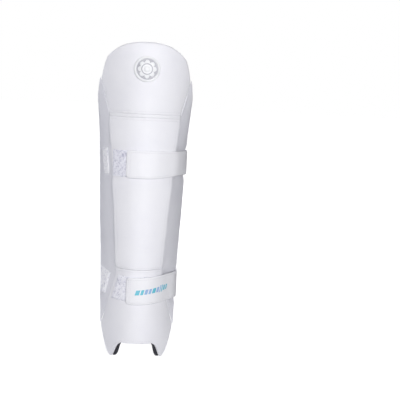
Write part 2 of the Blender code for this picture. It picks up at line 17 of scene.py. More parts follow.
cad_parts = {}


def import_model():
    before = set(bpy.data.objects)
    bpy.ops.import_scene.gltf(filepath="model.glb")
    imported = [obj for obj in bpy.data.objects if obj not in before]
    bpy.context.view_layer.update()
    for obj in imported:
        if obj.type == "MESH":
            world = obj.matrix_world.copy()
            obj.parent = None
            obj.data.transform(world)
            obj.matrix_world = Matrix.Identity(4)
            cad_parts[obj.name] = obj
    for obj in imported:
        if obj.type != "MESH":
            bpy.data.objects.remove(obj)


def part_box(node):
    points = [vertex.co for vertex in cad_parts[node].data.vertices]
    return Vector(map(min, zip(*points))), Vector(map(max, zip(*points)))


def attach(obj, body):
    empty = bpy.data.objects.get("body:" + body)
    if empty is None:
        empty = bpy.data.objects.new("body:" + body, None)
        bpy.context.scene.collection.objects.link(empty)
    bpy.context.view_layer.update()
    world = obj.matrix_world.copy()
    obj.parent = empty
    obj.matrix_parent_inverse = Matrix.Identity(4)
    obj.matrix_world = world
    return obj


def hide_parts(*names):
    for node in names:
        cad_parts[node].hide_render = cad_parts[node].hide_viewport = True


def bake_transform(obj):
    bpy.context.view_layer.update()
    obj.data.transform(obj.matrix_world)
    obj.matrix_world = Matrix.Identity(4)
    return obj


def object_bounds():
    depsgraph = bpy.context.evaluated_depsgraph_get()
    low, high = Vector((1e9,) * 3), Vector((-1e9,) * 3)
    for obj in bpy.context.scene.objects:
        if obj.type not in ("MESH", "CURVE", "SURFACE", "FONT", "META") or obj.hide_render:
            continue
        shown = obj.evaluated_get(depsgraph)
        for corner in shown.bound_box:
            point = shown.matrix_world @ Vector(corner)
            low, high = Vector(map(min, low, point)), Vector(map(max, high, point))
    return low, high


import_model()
cad_box = [list(map(float, corner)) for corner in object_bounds()]

METRES = 0.001  # metres in a millimetre
# the drawing point that the part's origin stands for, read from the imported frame
cushion_low, cushion_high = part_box("shin_cushion")
ORIGIN = np.array([0.0, -31.0 - cushion_high.y / METRES,
                   314.0 - (cushion_low.z + cushion_high.z) / 2 / METRES])

# ------------------------------------------------------------------ the pad's dimensions
PAD_HEIGHT = 600.0
CORNER_Z = 572.0        # the knee's upper corners
APEX_Z = 533.0          # where the wings run out beside the knee
KNEE_BOTTOM = 468.2
KNEE_SEAM_Z = 464.8
SHIN_TOP, SHIN_BOTTOM = 461.4, 174.2
SHIN_SEAM_Z = 174.0
CUTOUT_Z = 31.0         # top of the cut-out between the two prongs
WING_LOW, WING_TIP, WING_CALM, WING_SPLIT, WING_TOP = 60.0, 111.0, 178.0, 457.0, 533.5
WING_BULGE = 2.0
UPPER_STRAP_Z = (348.5, 400.5)
LOWER_STRAP_Z = (110.0, 162.0)
BADGE_Z = 550.0

# (z, y of the cover on the centre plane)
CENTRE_Y = [(0, -60), (40, -61.5), (110, -60), (172, -58.5), (300, -58.5), (400, -60),
            (463, -62.5), (530, -65), (570, -63), (600, -59)]
# (z, curvature): the cover falls back by curvature times x squared
CURVATURE = [(0, 0.0100), (110, 0.0108), (172, 0.0106), (300, 0.0079), (400, 0.0070),
             (463, 0.0067), (533, 0.0060), (600, 0.0057)]
# (z, x of the fold between the front and a wing)
FOLD_X_LOWER = [(58, 70.6), (162, 44.6)]
FOLD_X_UPPER = [(162, 44.6), (221, 47.4), (252, 49.7), (289, 52.2), (336, 56.4), (414, 62.7),
                (463, 67.6)]
FOLD_X_KNEE = [(463, 67.6), (533, 87.4)]
# (z, x of a wing's rear edge)
WING_X = [(58, 71.0), (83, 73.1), (120, 74.4), (174, 76.0), (210, 77.6), (268, 80.8), (335, 82.8),
          (404, 84.8), (463, 88.4), (505, 91.4), (518, 91.3), (526, 90.5), (534, 88.2)]
# (z, how far a wing's rear edge lies behind the fold)
WING_DEPTH = [(58, 0), (75, 8), (100, 22), (130, 38), (162, 50), (214, 56), (300, 57), (350, 54),
              (400, 48), (440, 41), (463, 35), (500, 20), (534, 1)]
# (z, x of the knee's side above the apex)
KNEE_SIDE_TOP = [(533, 87.4), (545, 85.2), (560, 81.4), (572, 77.0)]
# lower edge of the forked flap: (share of the way from centre to side, x, z)
FLAP_OUTLINE = [(0.0, 0.0, CUTOUT_Z + 0.8), (0.44, 31.0, CUTOUT_Z), (0.49, 36.2, 26.5),
                (0.55, 41.0, 16.0), (0.61, 44.4, 6.0), (0.65, 46.6, 1.0), (0.70, 50.8, 1.0),
                (0.77, 56.0, 6.6), (0.85, 60.7, 18.0), (0.93, 65.6, 33.0), (1.0, 70.2, 52.0)]
LINING_OUTLINE = [(0.0, 0.0, CUTOUT_Z + 3.0), (0.42, 29.6, CUTOUT_Z + 2.0), (0.46, 32.6, 26.0),
                  (0.51, 34.4, 17.0), (0.56, 36.8, 8.5), (0.60, 40.2, 3.0), (0.64, 45.4, 1.2),
                  (0.70, 49.6, 3.0), (0.77, 54.4, 9.2), (0.85, 59.2, 20.0), (0.93, 63.6, 34.5),
                  (1.0, 67.8, 52.0)]

# ------------------------------------------------------------------ curves and surfaces
line = np.linspace


def steps(count):
    return line(0, 1, count)


def both_sides(count):
    return line(-1, 1, count)


def mirrored(half):
    """Values from -end to end, from those between 0 and end."""
    return np.concatenate([-half[::-1], half[1:]])


def between(share, low, high):
    return low + share * (high - low)


def ease(start, end, value):
    """A smooth step from 0 at start to 1 at end."""
    share = np.clip((np.asarray(value, float) - start) / (end - start), 0, 1)
    return share * share * (3 - 2 * share)


def bell(distance, width):
    return np.exp(-(distance / width) ** 2)


def unit(vectors):
    return vectors / np.maximum(np.linalg.norm(vectors, axis=-1, keepdims=True), 1e-9)


def settle(points, passes):
    """Smooth a line of points, keeping its ends."""
    for _ in range(passes):
        points[1:-1] = (points[:-2] + 2 * points[1:-1] + points[2:]) / 4
    return points


def run_lengths(path):
    """Distance along a line of points, at each point."""
    return np.concatenate([[0], np.cumsum(np.linalg.norm(np.diff(path, axis=0), axis=1))])


def sample(path, run, at):
    return np.stack([np.interp(at, run, column) for column in path.T], -1)


def smooth(table, z):
    """Monotone cubic through a table of (z, value), level beyond its ends."""
    heights, values = np.array(table, float).T
    if z <= heights[0]:
        return float(values[0])
    if z >= heights[-1]:
        return float(values[-1])
    gaps = np.diff(heights)
    rises = np.diff(values) / gaps
    slopes = np.zeros(len(heights))
    slopes[0], slopes[-1] = rises[0], rises[-1]
    for i in range(1, len(heights) - 1):
        if rises[i - 1] * rises[i] > 0:
            before, after = 2 * gaps[i] + gaps[i - 1], gaps[i] + 2 * gaps[i - 1]
            slopes[i] = (before + after) / (before / rises[i - 1] + after / rises[i])
    i = int(np.searchsorted(heights, z) - 1)
    t = (z - heights[i]) / gaps[i]
    return float((2 * t**3 - 3 * t**2 + 1) * values[i]
                 + (t**3 - 2 * t**2 + t) * gaps[i] * slopes[i]
                 + (-2 * t**3 + 3 * t**2) * values[i + 1]
                 + (t**3 - t**2) * gaps[i] * slopes[i + 1])


DENSE_Z = np.arange(-40.0, 660.0, 0.5)


def dense(rule):
    """A fast stand-in for rule(z), read off at close heights."""
    values = np.array([rule(z) for z in DENSE_Z])
    return lambda z: np.interp(z, DENSE_Z, values)


def curve(table):
    return dense(lambda z: smooth(table, z))


def fold_rule(z):
    if z < 162:
        return float(np.interp(z, *zip(*FOLD_X_LOWER)))
    return smooth(FOLD_X_UPPER, z) if z < 463 else float(np.interp(z, *zip(*FOLD_X_KNEE)))


centre_y = curve(CENTRE_Y)
curvature = curve(CURVATURE)
fold_x = dense(fold_rule)
wing_x = curve(WING_X)
wing_depth = curve(WING_DEPTH)
knee_side_x = dense(lambda z: fold_rule(z) if z < APEX_Z else smooth(KNEE_SIDE_TOP, z))


def cover_y(x, z):
    return centre_y(z) + curvature(z) * x * x


def front(x, z, depth):
    """Points of the front shell, depth below the cover."""
    x, z = np.broadcast_arrays(np.asarray(x, float), np.asarray(z, float))
    slope_x = (cover_y(x + 1, z) - cover_y(x - 1, z)) / 2
    slope_z = (cover_y(x, z + 4) - cover_y(x, z - 4)) / 8
    normal = unit(np.stack([slope_x, -np.ones_like(slope_x), slope_z], -1))
    return np.stack([x, cover_y(x, z), z], -1) - normal * np.asarray(depth)[..., None]


def wing_length(z):
    return np.hypot(wing_x(z) - fold_x(z), wing_depth(z))


def wing_base(share, z):
    """Points of the right wing's plain shape, bulged a little outwards."""
    fold, back = fold_x(z), wing_depth(z)
    out = wing_x(z) - fold
    length = np.maximum(np.hypot(out, back), 1e-6)
    bulge = WING_BULGE * np.minimum(1.0, length / 40.0) * 4 * share * (1 - share)
    return np.stack([fold + out * share + back / length * bulge,
                     cover_y(fold, z) + back * share - out / length * bulge, z], -1)


def wing(side, share, z, depth):
    """Points of a side wing: share runs from the fold line (0) to the rear edge (1)."""
    share, z = np.broadcast_arrays(np.asarray(share, float), np.asarray(z, float))
    along = wing_base(share + 0.03, z) - wing_base(share - 0.03, z)
    rising = wing_base(share, z + 3.0) - wing_base(share, z - 3.0)
    points = wing_base(share, z) - unit(np.cross(along, rising)) * np.asarray(depth)[..., None]
    return points * np.array([side, 1.0, 1.0])


def undulate(x, z, length, seed):
    """Smooth, repeatable unevenness of about -1 to 1, with features of the given length."""
    rng = np.random.RandomState(seed)
    total = np.zeros(np.broadcast(x, z).shape)
    for _ in range(7):
        angle, phase = rng.uniform(0, 2 * math.pi, 2)
        pace = 2 * math.pi / (length * rng.uniform(0.7, 1.5))
        total = total + np.sin(pace * (math.cos(angle) * x + math.sin(angle) * z) + phase)
    return total / 3.2


# ------------------------------------------------------------------ node materials
class Nodes:
    """Short calls that add and link the nodes of one tree."""

    def __init__(self, tree):
        self.tree = tree

    def feed(self, node, inputs):
        """Link the inputs given as sockets and set the others."""
        for key, value in inputs.items():
            if isinstance(value, bpy.types.NodeSocket):
                self.tree.links.new(value, node.inputs[key])
            else:
                node.inputs[key].default_value = value

    def surface(self, inputs):
        self.feed(self.tree.nodes["Principled BSDF"], inputs)

    def add(self, kind, inputs, **settings):
        node = self.tree.nodes.new(kind)
        for key, value in settings.items():
            setattr(node, key, value)
        self.feed(node, inputs)
        return node

    def coords(self, kind="Object"):
        return self.add("ShaderNodeTexCoord", {}).outputs[kind]

    def noise(self, at, scale, detail=3.0, rough=0.55):
        return self.add("ShaderNodeTexNoise", {"Vector": at, "Scale": scale, "Detail": detail,
                                               "Roughness": rough}).outputs["Fac"]

    def cells(self, at, scale, feature="F1"):
        return self.add("ShaderNodeTexVoronoi", {"Vector": at, "Scale": scale},
                        feature=feature).outputs["Distance"]

    def ramp(self, value, stops):
        """Colours at places between 0 and 1."""
        node = self.add("ShaderNodeValToRGB", {"Fac": value})
        elements = node.color_ramp.elements
        while len(elements) < len(stops):
            elements.new(0.5)
        for element, (place, colour) in zip(elements, stops):
            element.position = place
            element.color = (*colour, 1.0)
        return node.outputs["Color"]

    def span(self, value, low, high, start=0.0, end=1.0):
        """Map start..end to low..high."""
        return self.add("ShaderNodeMapRange", {
            "Value": value, "From Min": start, "From Max": end,
            "To Min": low, "To Max": high}).outputs["Result"]

    def plus(self, first, second):
        return self.add("ShaderNodeMath", {0: first, 1: second}, operation="ADD").outputs[0]

    def times(self, first, second):
        return self.add("ShaderNodeMath", {0: first, 1: second}, operation="MULTIPLY").outputs[0]

    def wave(self, value, period):
        turns = self.times(value, 2 * math.pi / period)
        return self.add("ShaderNodeMath", {0: turns}, operation="SINE").outputs[0]

    def bump(self, height, strength, distance, before=None):
        inputs = {"Height": height, "Strength": strength, "Distance": distance}
        if before is not None:
            inputs["Normal"] = before
        return self.add("ShaderNodeBump", inputs).outputs["Normal"]


def new_material(name):
    mat = bpy.data.materials.new(name)
    mat.use_nodes = True
    return mat, Nodes(mat.node_tree)


def leather(name, colour, shade, rough=(0.5, 0.66), grain=0.35):
    """Smooth coated leather: fine pebble grain, soft creasing, faint handling marks."""
    mat, nodes = new_material(name)
    xyz = nodes.coords()
    tint = nodes.ramp(nodes.noise(xyz, scale=14.0, detail=4.0, rough=0.6),
                      [(0.3, shade), (0.62, colour)])
    scuffs = nodes.ramp(nodes.noise(xyz, scale=95.0, detail=6.0, rough=0.72),
                        [(0.0, (0.965, 0.965, 0.965)), (0.46, (1, 1, 1)), (1.0, (1, 1, 1))])
    mix = nodes.add("ShaderNodeMix", {"Factor": 1.0, "A": tint, "B": scuffs},
                    data_type="RGBA", blend_type="MULTIPLY")
    sheen = nodes.noise(xyz, scale=38.0, detail=5.0, rough=0.6)
    pebble = nodes.cells(xyz, scale=1150.0, feature="SMOOTH_F1")
    fine = nodes.noise(xyz, scale=2300.0, detail=2.0)
    crease = nodes.noise(xyz, scale=60.0, detail=4.0, rough=0.5)
    creased = nodes.bump(crease, strength=0.12, distance=0.0012)
    nodes.surface({
        "Base Color": mix.outputs["Result"],
        "Roughness": nodes.span(sheen, *rough),
        "Normal": nodes.bump(nodes.plus(pebble, nodes.times(fine, 0.5)), strength=grain,
                             distance=0.00012, before=creased),
        "Specular IOR Level": 0.32, "Coat Weight": 0.03, "Coat Roughness": 0.35})
    return mat


def fuzzy(name, colour, dark):
    """Brushed loop pile: matted clumps with grey gaps between."""
    mat, nodes = new_material(name)
    xyz = nodes.coords()
    clump = nodes.noise(xyz, scale=171.0, detail=4.0, rough=0.75)
    tuft = nodes.cells(xyz, scale=608.0)
    wide = nodes.noise(xyz, scale=57.0, detail=2.0)
    pile = nodes.plus(nodes.times(tuft, 0.22),
                      nodes.plus(nodes.times(clump, 0.8), nodes.times(wide, 0.16)))
    halfway = tuple((light + deep) / 2 for light, deep in zip(colour, dark))
    matted = nodes.bump(clump, strength=0.7, distance=0.0012)
    nodes.surface({
        "Base Color": nodes.ramp(pile, [(0.43, dark), (0.53, halfway), (0.60, colour)]),
        "Normal": nodes.bump(tuft, strength=0.6, distance=0.0005, before=matted),
        "Roughness": 0.95, "Sheen Weight": 0.4, "Sheen Roughness": 0.6,
        "Specular IOR Level": 0.15})
    return mat


def woven(name, colour, dark, warp, weft, rough=0.8, sheen=0.3, ribs=0.0):
    """Plain weave from two crossed waves; warp, weft and ribs are their periods in UV units."""
    mat, nodes = new_material(name)
    split = nodes.add("ShaderNodeSeparateXYZ", {0: nodes.coords("UV")}).outputs
    weave = nodes.times(nodes.wave(split[0], warp), nodes.wave(split[1], weft))
    height = nodes.plus(nodes.times(weave, 0.5), 0.5)
    if ribs:
        height = nodes.plus(height, nodes.times(nodes.wave(split[1], ribs), 0.8))
    soft = nodes.noise(nodes.coords(), scale=30.0, detail=4.0)
    mixed = nodes.plus(nodes.times(height, 0.3), nodes.times(soft, 0.7))
    nodes.surface({
        "Base Color": nodes.ramp(mixed, [(0.2, dark), (0.7, colour)]),
        "Normal": nodes.bump(height, strength=0.55, distance=0.00045),
        "Roughness": rough, "Sheen Weight": sheen, "Specular IOR Level": 0.25})
    return mat


def spacer_mesh(name, colour, light):
    """Knitted spacer mesh: a net of small round holes with a bright rim."""
    mat, nodes = new_material(name)
    xyz = nodes.coords()
    holes = nodes.cells(xyz, scale=520.0)
    dark = tuple(channel * 0.35 for channel in colour)
    uneven = nodes.bump(nodes.noise(xyz, scale=45.0, detail=3.0), strength=0.15, distance=0.002)
    nodes.surface({
        "Base Color": nodes.ramp(holes, [(0.0, dark), (0.35, colour), (0.62, light)]),
        "Roughness": nodes.span(nodes.noise(xyz, scale=60.0), 0.72, 0.92),
        "Normal": nodes.bump(holes, strength=0.8, distance=0.0006, before=uneven),
        "Sheen Weight": 0.25, "Specular IOR Level": 0.3})
    return mat


def moulded(name, colour, shade, rough=(0.42, 0.58)):
    """Moulded rubber: faint cloudy colour and a fine grained skin."""
    mat, nodes = new_material(name)
    xyz = nodes.coords()
    nodes.surface({
        "Base Color": nodes.ramp(nodes.noise(xyz, scale=60.0, detail=4.0),
                                 [(0.3, shade), (0.6, colour)]),
        "Roughness": nodes.span(nodes.noise(xyz, scale=300.0, detail=3.0), *rough),
        "Normal": nodes.bump(nodes.noise(xyz, scale=2600.0, detail=2.0),
                             strength=0.2, distance=0.0001)})
    return mat


WHITE = leather("pu_leather_white", (0.868, 0.866, 0.905), (0.838, 0.836, 0.885))
# the same white leather as the front, made darker and bluer for the wings as painted shade where they
# turn away from the light
WING_LEATHER_PAINTED_SHADE = leather("pu_leather_wing", (0.79, 0.79, 0.84), (0.755, 0.755, 0.81))
EDGE = leather("pu_binding", (0.86, 0.858, 0.895), (0.80, 0.798, 0.845),
               rough=(0.5, 0.62), grain=0.25)
TAB = leather("pu_strap", (0.878, 0.876, 0.91), (0.855, 0.853, 0.893),
              rough=(0.48, 0.6), grain=0.3)
LOOP = fuzzy("loop_pile", (0.86, 0.86, 0.94), (0.50, 0.50, 0.62))
LOOP_PALE = fuzzy("loop_pile_pale", (0.92, 0.92, 0.985), (0.57, 0.57, 0.68))
LOOP_WHITE = fuzzy("loop_pile_white", (0.96, 0.96, 1.0), (0.62, 0.62, 0.72))
# mid grey leather used as painted shade: down in the fold grooves and as the shadow line under the tabs'
# lower edges
GREY_PAINTED_SHADE = leather("pu_grey_painted_shade", (0.56, 0.56, 0.61), (0.48, 0.48, 0.54),
                    rough=(0.5, 0.62), grain=0.25)
HOOK = woven("hook_strip", (0.82, 0.82, 0.86), (0.55, 0.55, 0.60),
             warp=0.0016, weft=0.0016, rough=0.7, sheen=0.0)
ELASTIC = woven("elastic_web", (0.80, 0.80, 0.84), (0.58, 0.58, 0.64),
                warp=0.0018, weft=0.0012, rough=0.82, sheen=0.35, ribs=0.0036)
NET = spacer_mesh("spacer_mesh_black", (0.012, 0.012, 0.018), (0.045, 0.045, 0.06))
CLOTH = woven("cushion_cloth_charcoal", (0.058, 0.059, 0.074), (0.022, 0.022, 0.030),
              warp=0.0011, weft=0.0011, rough=0.85, sheen=0.6)
THREAD = woven("thread_white", (0.86, 0.86, 0.89), (0.62, 0.62, 0.68),
               warp=0.0004, weft=0.0008, rough=0.6, sheen=0.2)
# a spare thread in the file's material list; no piece is sewn with it
woven("thread_black", (0.06, 0.06, 0.075), (0.02, 0.02, 0.03),
      warp=0.0004, weft=0.0008, rough=0.6, sheen=0.2)
RUBBER = moulded("badge_rubber", (0.86, 0.865, 0.885), (0.80, 0.805, 0.83))
# the badge's white rubber greyed as painted shade in its recess and round its inner ring
RUBBER_PAINTED_SHADE = moulded("badge_recess_painted_shade", (0.50, 0.50, 0.54), (0.42, 0.42, 0.46), rough=(0.5, 0.66))
PRINT = moulded("dash_print_teal", (0.13, 0.56, 0.68), (0.22, 0.55, 0.72), rough=(0.3, 0.42))
PRINT_BLUE = moulded("dash_print_blue", (0.36, 0.48, 0.76), (0.28, 0.55, 0.78), rough=(0.3, 0.42))


# ------------------------------------------------------------------ meshes
def link(name, data):
    obj = bpy.data.objects.new(name, data)
    bpy.context.scene.collection.objects.link(obj)
    return obj


def write_uv(mesh, vertex_uv):
    layer = mesh.uv_layers.get("UVMap") or mesh.uv_layers.new(name="UVMap")
    loops = np.zeros(len(mesh.loops), np.int32)
    mesh.loops.foreach_get("vertex_index", loops)
    layer.data.foreach_set("uv", vertex_uv[loops].astype(np.float32).ravel())


def make(name, points, faces, material, sharp=None):
    """A mesh object from drawing-frame points; its UVs are their x and z in metres."""
    points = np.asarray(points, float)
    mesh = bpy.data.meshes.new(name)
    mesh.from_pydata(((points - ORIGIN) * METRES).tolist(), [],
                     [tuple(int(i) for i in face) for face in faces])
    bm = bmesh.new()
    bm.from_mesh(mesh)
    bmesh.ops.recalc_face_normals(bm, faces=bm.faces)
    bm.to_mesh(mesh)
    bm.free()
    write_uv(mesh, points[:, [0, 2]] * METRES)
    mesh.shade_smooth()
    if sharp:
        mesh.set_sharp_from_angle(angle=math.radians(sharp))
    mesh.materials.append(material)
    obj = link(name, mesh)
    return obj


def grid_faces(columns, rows, offset):
    corners = [offset + j * columns + i for j in range(rows - 1) for i in range(columns - 1)]
    return [(a, a + 1, a + columns + 1, a + columns) for a in corners]


def slab(name, across, up, place, material, layers=4, sharp=None):
    """A closed padded panel. place(across, up, layer) gives the points of a layer: the first is
    the face, the last is the back, and those between are rings round the edge."""
    columns, rows = len(across), len(up)
    grid_across, grid_up = (grid.ravel() for grid in np.meshgrid(across, up))
    index = np.arange(columns * rows).reshape(rows, columns)
    rim = np.concatenate([index[0], index[1:, -1], index[-1, -2::-1], index[-2:0:-1, 0]])
    points = [place(grid_across, grid_up, 0)]
    for layer in range(1, layers - 1):
        points.append(place(grid_across[rim], grid_up[rim], layer))
    points.append(place(grid_across, grid_up, layers - 1))

    face_count, around = columns * rows, len(rim)
    back = face_count + (layers - 2) * around
    rings = [rim] + [face_count + i * around + np.arange(around) for i in range(layers - 2)]
    rings.append(back + rim)
    faces = grid_faces(columns, rows, 0)
    for ring, following in zip(rings, rings[1:]):
        faces += zip(ring, np.roll(ring, -1), np.roll(following, -1), following)
    faces += [face[::-1] for face in grid_faces(columns, rows, back)]
    return make(name, np.concatenate(points), faces, material, sharp)


def ring_faces(rings, sides):
    """Faces that join equal rings of points in turn, with a cap at each end."""
    faces = []
    for i in range(rings - 1):
        here, there = i * sides, (i + 1) * sides
        for j in range(sides):
            k = (j + 1) % sides
            faces.append((here + j, here + k, there + k, there + j))
    faces.append(tuple(range(sides))[::-1])
    faces.append(tuple((rings - 1) * sides + j for j in range(sides)))
    return faces


def cord(name, path, radius, material=EDGE, sides=10, normals=(0.0, -1.0, 0.05)):
    """A round cord along a line of points."""
    tangent = unit(np.gradient(path, axis=0))
    side = unit(np.cross(tangent, normals))
    up = np.cross(side, tangent)
    radii = (np.ones(len(path)) * radius)[:, None]
    points = []
    for j in range(sides):
        angle = 2 * math.pi * j / sides
        points.append(path + (math.cos(angle) * side + math.sin(angle) * up) * radii)
    return make(name, np.stack(points, 1).reshape(-1, 3), ring_faces(len(path), sides),
                material, sharp=60)


STITCH_PITCH, STITCH_LENGTH, STITCH_RADIUS = 3.6, 2.7, 0.42
# a stitch's rings: (place along its half length, share of the radius)
STITCH_RINGS = [(-1.0, 0.0), (-0.72, 0.8), (0.0, 1.0), (0.72, 0.8), (1.0, 0.0)]
STITCH_SIDES = 6


def stitch_faces(base):
    """Faces of one stitch: a point, three rings and a point."""
    faces = []
    sides = STITCH_SIDES
    last = base + 1 + 3 * sides
    for i in range(sides):
        j = (i + 1) % sides
        faces.append((base, base + 1 + j, base + 1 + i))
        for k in range(2):
            ring = base + 1 + k * sides
            faces.append((ring + i, ring + j, ring + sides + j, ring + sides + i))
        faces.append((last, last - sides + i, last - sides + j))
    return faces


def stitches(name, rows):
    """Rows of sewn stitches. Each row is (points on the surface, outward normals at them)."""
    points, faces = [], []
    for path, normals in rows:
        run = run_lengths(path)
        count = max(1, int(run[-1] / STITCH_PITCH))
        at = (np.arange(count) + 0.5) * run[-1] / count
        along = unit(sample(path, run, at + 0.6) - sample(path, run, at - 0.6))
        side = unit(np.cross(along, sample(normals, run, at)))
        up = np.cross(side, along)
        for centre, ahead, beside, above in zip(sample(path, run, at), along, side, up):
            faces += stitch_faces(len(points))
            for place, share in STITCH_RINGS:
                middle = centre + ahead * place * STITCH_LENGTH / 2
                middle = middle + above * (0.1 - 0.35 * place * place)
                if share == 0:
                    points.append(middle)
                    continue
                for i in range(STITCH_SIDES):
                    angle = 2 * math.pi * i / STITCH_SIDES
                    spoke = beside * math.cos(angle) + above * math.sin(angle)
                    points.append(middle + spoke * share * STITCH_RADIUS)
    return make(name, points, faces, THREAD)


def with_normals(surface, height):
    """Points of surface(height) and the outward normals at them."""
    points = surface(height)
    return points, surface(height + 1.0) - points


def on_front(x, z, height):
    return with_normals(lambda lift: front(x, z, -lift), height)


# ------------------------------------------------------------------ joining pieces to the frame
def world(x, y, z):
    return tuple((np.array([x, y, z]) - ORIGIN) * METRES)


def ride(piece, body, *replaced):
    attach(piece, body)
    if replaced:
        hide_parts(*replaced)


# bends: (first body, second body, z where the first one's motion ends, z where the second's begins)
INSTEP_BEND = ("shin", "instep", 109.0, 88.0)
LOW_WING_BEND = ("shin", "{}_wing", 116.0, 174.0)
HIGH_WING_BEND = ("{}_wing", "shin", 392.0, 454.0)
GUSSET_BEND = ("shin", "knee", WING_SPLIT + 0.5, 482.0)


def knee_bend(reach):
    return ("shin", "knee", KNEE_SEAM_Z - reach, KNEE_SEAM_Z + reach)


def bend(piece, joint, *replaced, word=""):
    """Fix a piece where it stands and hide the frame nodes that it replaces; word is not used."""
    first, second, first_z, second_z = joint
    world(0, 0, first_z)
    world(0, 0, second_z)
    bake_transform(piece)
    if replaced:
        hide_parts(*replaced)


# ------------------------------------------------------------------ edge profiles and relief
# Insets from the outline at each depth. A free edge is a soft roll; along a fold or a sewn channel
# the cover ends in a thin lip that laps over its neighbour.
DEPTHS = np.array([0.0, 0.15, 0.45, 0.8, 1.05, 1.5, 2.4, 4.2, 6.5, 9.5, 11.3, 12.4, 12.9])


def rolled(depths, size, back):
    """A rounded edge: size deep and wide on the face side, back on the other."""
    face = np.clip(1 - depths / size, 0, 1)
    rear = np.clip(1 - (depths[-1] - depths) / back, 0, 1)
    return (size * 0.8 * (1 - np.sqrt(1 - face**2 * 0.985))
            + back * 0.8 * (1 - np.sqrt(1 - rear**2 * 0.97)))


FREE = rolled(DEPTHS, size=6.5, back=4.0)
FOLD = np.array([0.75, 0.35, 0.1, 0.15, 0.6, 1.9, 2.4, 2.9, 3.4, 4.5, 5.2, 5.9, 7.5])
SEAM = np.array([0.75, 0.35, 0.1, 0.15, 0.6, 1.8, 2.3, 2.8, 3.4, 3.9, 4.6, 5.4, 6.6])
CLOSED = np.array([0.9, 0.5, 0.2, 0.05, 0.0, 0.0, 0.0, 0.0, 0.2, 0.5, 0.8, 1.4, 2.4])
FADE_DEPTH = 13.0                       # the cover's relief has died away by this depth
LINING_DEPTHS = (12.6, 13.2, 14.6, 15.2)


def relief(x, z, seed):
    """Slight unevenness of stuffed and sewn covers."""
    return 0.30 * undulate(x, z, 90.0, seed) + 0.10 * undulate(x, z, 26.0, seed + 1)


def valley(away):
    """The padded cover is pulled down towards its sewn sides."""
    return 2.1 * np.exp(-np.maximum(away, 0.0) / 9.0)


def pucker(along, away, seed):
    """Small gathers beside a seam, dying away from it."""
    return 0.26 * np.exp(-np.abs(away) / 6.0) * undulate(along, away * 0.15, 9.0, seed)


def quilt(layer, x, z, height, length, seed):
    """Unevenness of a lining's back layer."""
    return height * undulate(x, z, length, seed) if layer == 3 else 0.0


def on_cover(x, z, layer, out):
    """Points of a cover's layer, where its face stands out(x, z) above the plain shape."""
    depth = DEPTHS[layer]
    return front(x, z, depth - out(x, z) * (1 - depth / FADE_DEPTH))


# ------------------------------------------------------------------ knee section
def knee_xz(across, up, side_in, top_in, low_in):
    bottom = KNEE_BOTTOM + low_in
    side_z = between(up, bottom, CORNER_Z - 0.6 * top_in)
    centre_z = between(up, bottom, PAD_HEIGHT - top_in)
    z = side_z + (centre_z - side_z) * (1 - np.abs(across) ** 3)
    return across * (knee_side_x(side_z) - side_in), z


def knee_crown(x, z):
    return 1.4 * bell(z - 545.0, 55.0) * bell(x, 60.0)


def knee_out(x, z):
    """Height of the knee cover over its plain shape: a shallow crown, falling to the sewn sides."""
    out = relief(x, z, 3) + pucker(x, z - KNEE_BOTTOM, 5) + knee_crown(x, z)
    return out - valley(knee_side_x(np.minimum(z, CORNER_Z)) - np.abs(x))


def knee_place(across, up, layer):
    # the side is a fold beside the gusset and a free rolled edge above it
    free = ease(APEX_Z - 12, APEX_Z + 8, between(up, KNEE_BOTTOM, CORNER_Z))
    side_in = between(free, FOLD[layer], FREE[layer])
    x, z = knee_xz(across, up, side_in, FREE[layer], SEAM[layer])
    return on_cover(x, z, layer, knee_out)


def knee_lining_place(across, up, layer):
    inset = (1.8, 1.4, 1.5, 2.2)[layer]
    low_in = (7.0, 6.6, 6.6, 7.4)[layer]
    free = ease(APEX_Z - 34, APEX_Z - 2, between(up, KNEE_BOTTOM, CORNER_Z))
    x, z = knee_xz(across, up, inset + 5.5 * (1 - free), inset, low_in)
    return front(x, z, LINING_DEPTHS[layer] + quilt(layer, x, z, height=0.25, length=30.0, seed=9))


ride(slab("knee_cover", both_sides(112), steps(84), knee_place, WHITE, len(DEPTHS)),
     "knee", "knee_face", "knee_plate", "knee_core")
ride(slab("knee_lining_net", both_sides(60), steps(46), knee_lining_place, NET),
     "knee", "knee_lining")


# ------------------------------------------------------------------ shin section
def strap_press(z):
    """1 under the two straps, easing to 0 above and below them."""
    return sum(ease(low - 16, low - 1, z) * (1 - ease(high + 1, high + 16, z))
               for low, high in (UPPER_STRAP_Z, LOWER_STRAP_Z))


def shin_out(x, z):
    """Height of the shin cover over its plain shape: fuller towards the sides, except at straps."""
    out = relief(x, z, 13) + pucker(x, SHIN_TOP - z, 15) + pucker(x, z - SHIN_BOTTOM, 16)
    full = 1.9 * np.minimum(1.0, np.abs(x) / fold_x(z)) ** 2.4
    full = full * (1 - strap_press(z)) * ease(0, 14, SHIN_TOP - z) * ease(-2, 12, z - SHIN_BOTTOM)
    return out + full - 0.5 * valley(fold_x(z) - np.abs(x))


def shin_place(across, up, layer):
    z = between(up, SHIN_BOTTOM + CLOSED[layer], SHIN_TOP - SEAM[layer])
    return on_cover(across * (fold_x(z) - FOLD[layer]), z, layer, shin_out)


def shin_lining_place(across, up, layer):
    inset = (0.6, 0.1, 0.2, 0.9)[layer]
    z = between(up, SHIN_BOTTOM - 0.15 + 0.1 * inset, SHIN_TOP - 6.6 - inset)
    x = across * (fold_x(z) - 6.6 - inset)
    return front(x, z, LINING_DEPTHS[layer] + quilt(layer, x, z, height=0.3, length=34.0, seed=19))


ride(slab("shin_cover", both_sides(84), steps(170), shin_place, WHITE, len(DEPTHS)),
     "shin", "shin_face", "shin_plate", "shin_core")
ride(slab("shin_lining_net", both_sides(44), steps(96), shin_lining_place, NET),
     "shin", "shin_lining")


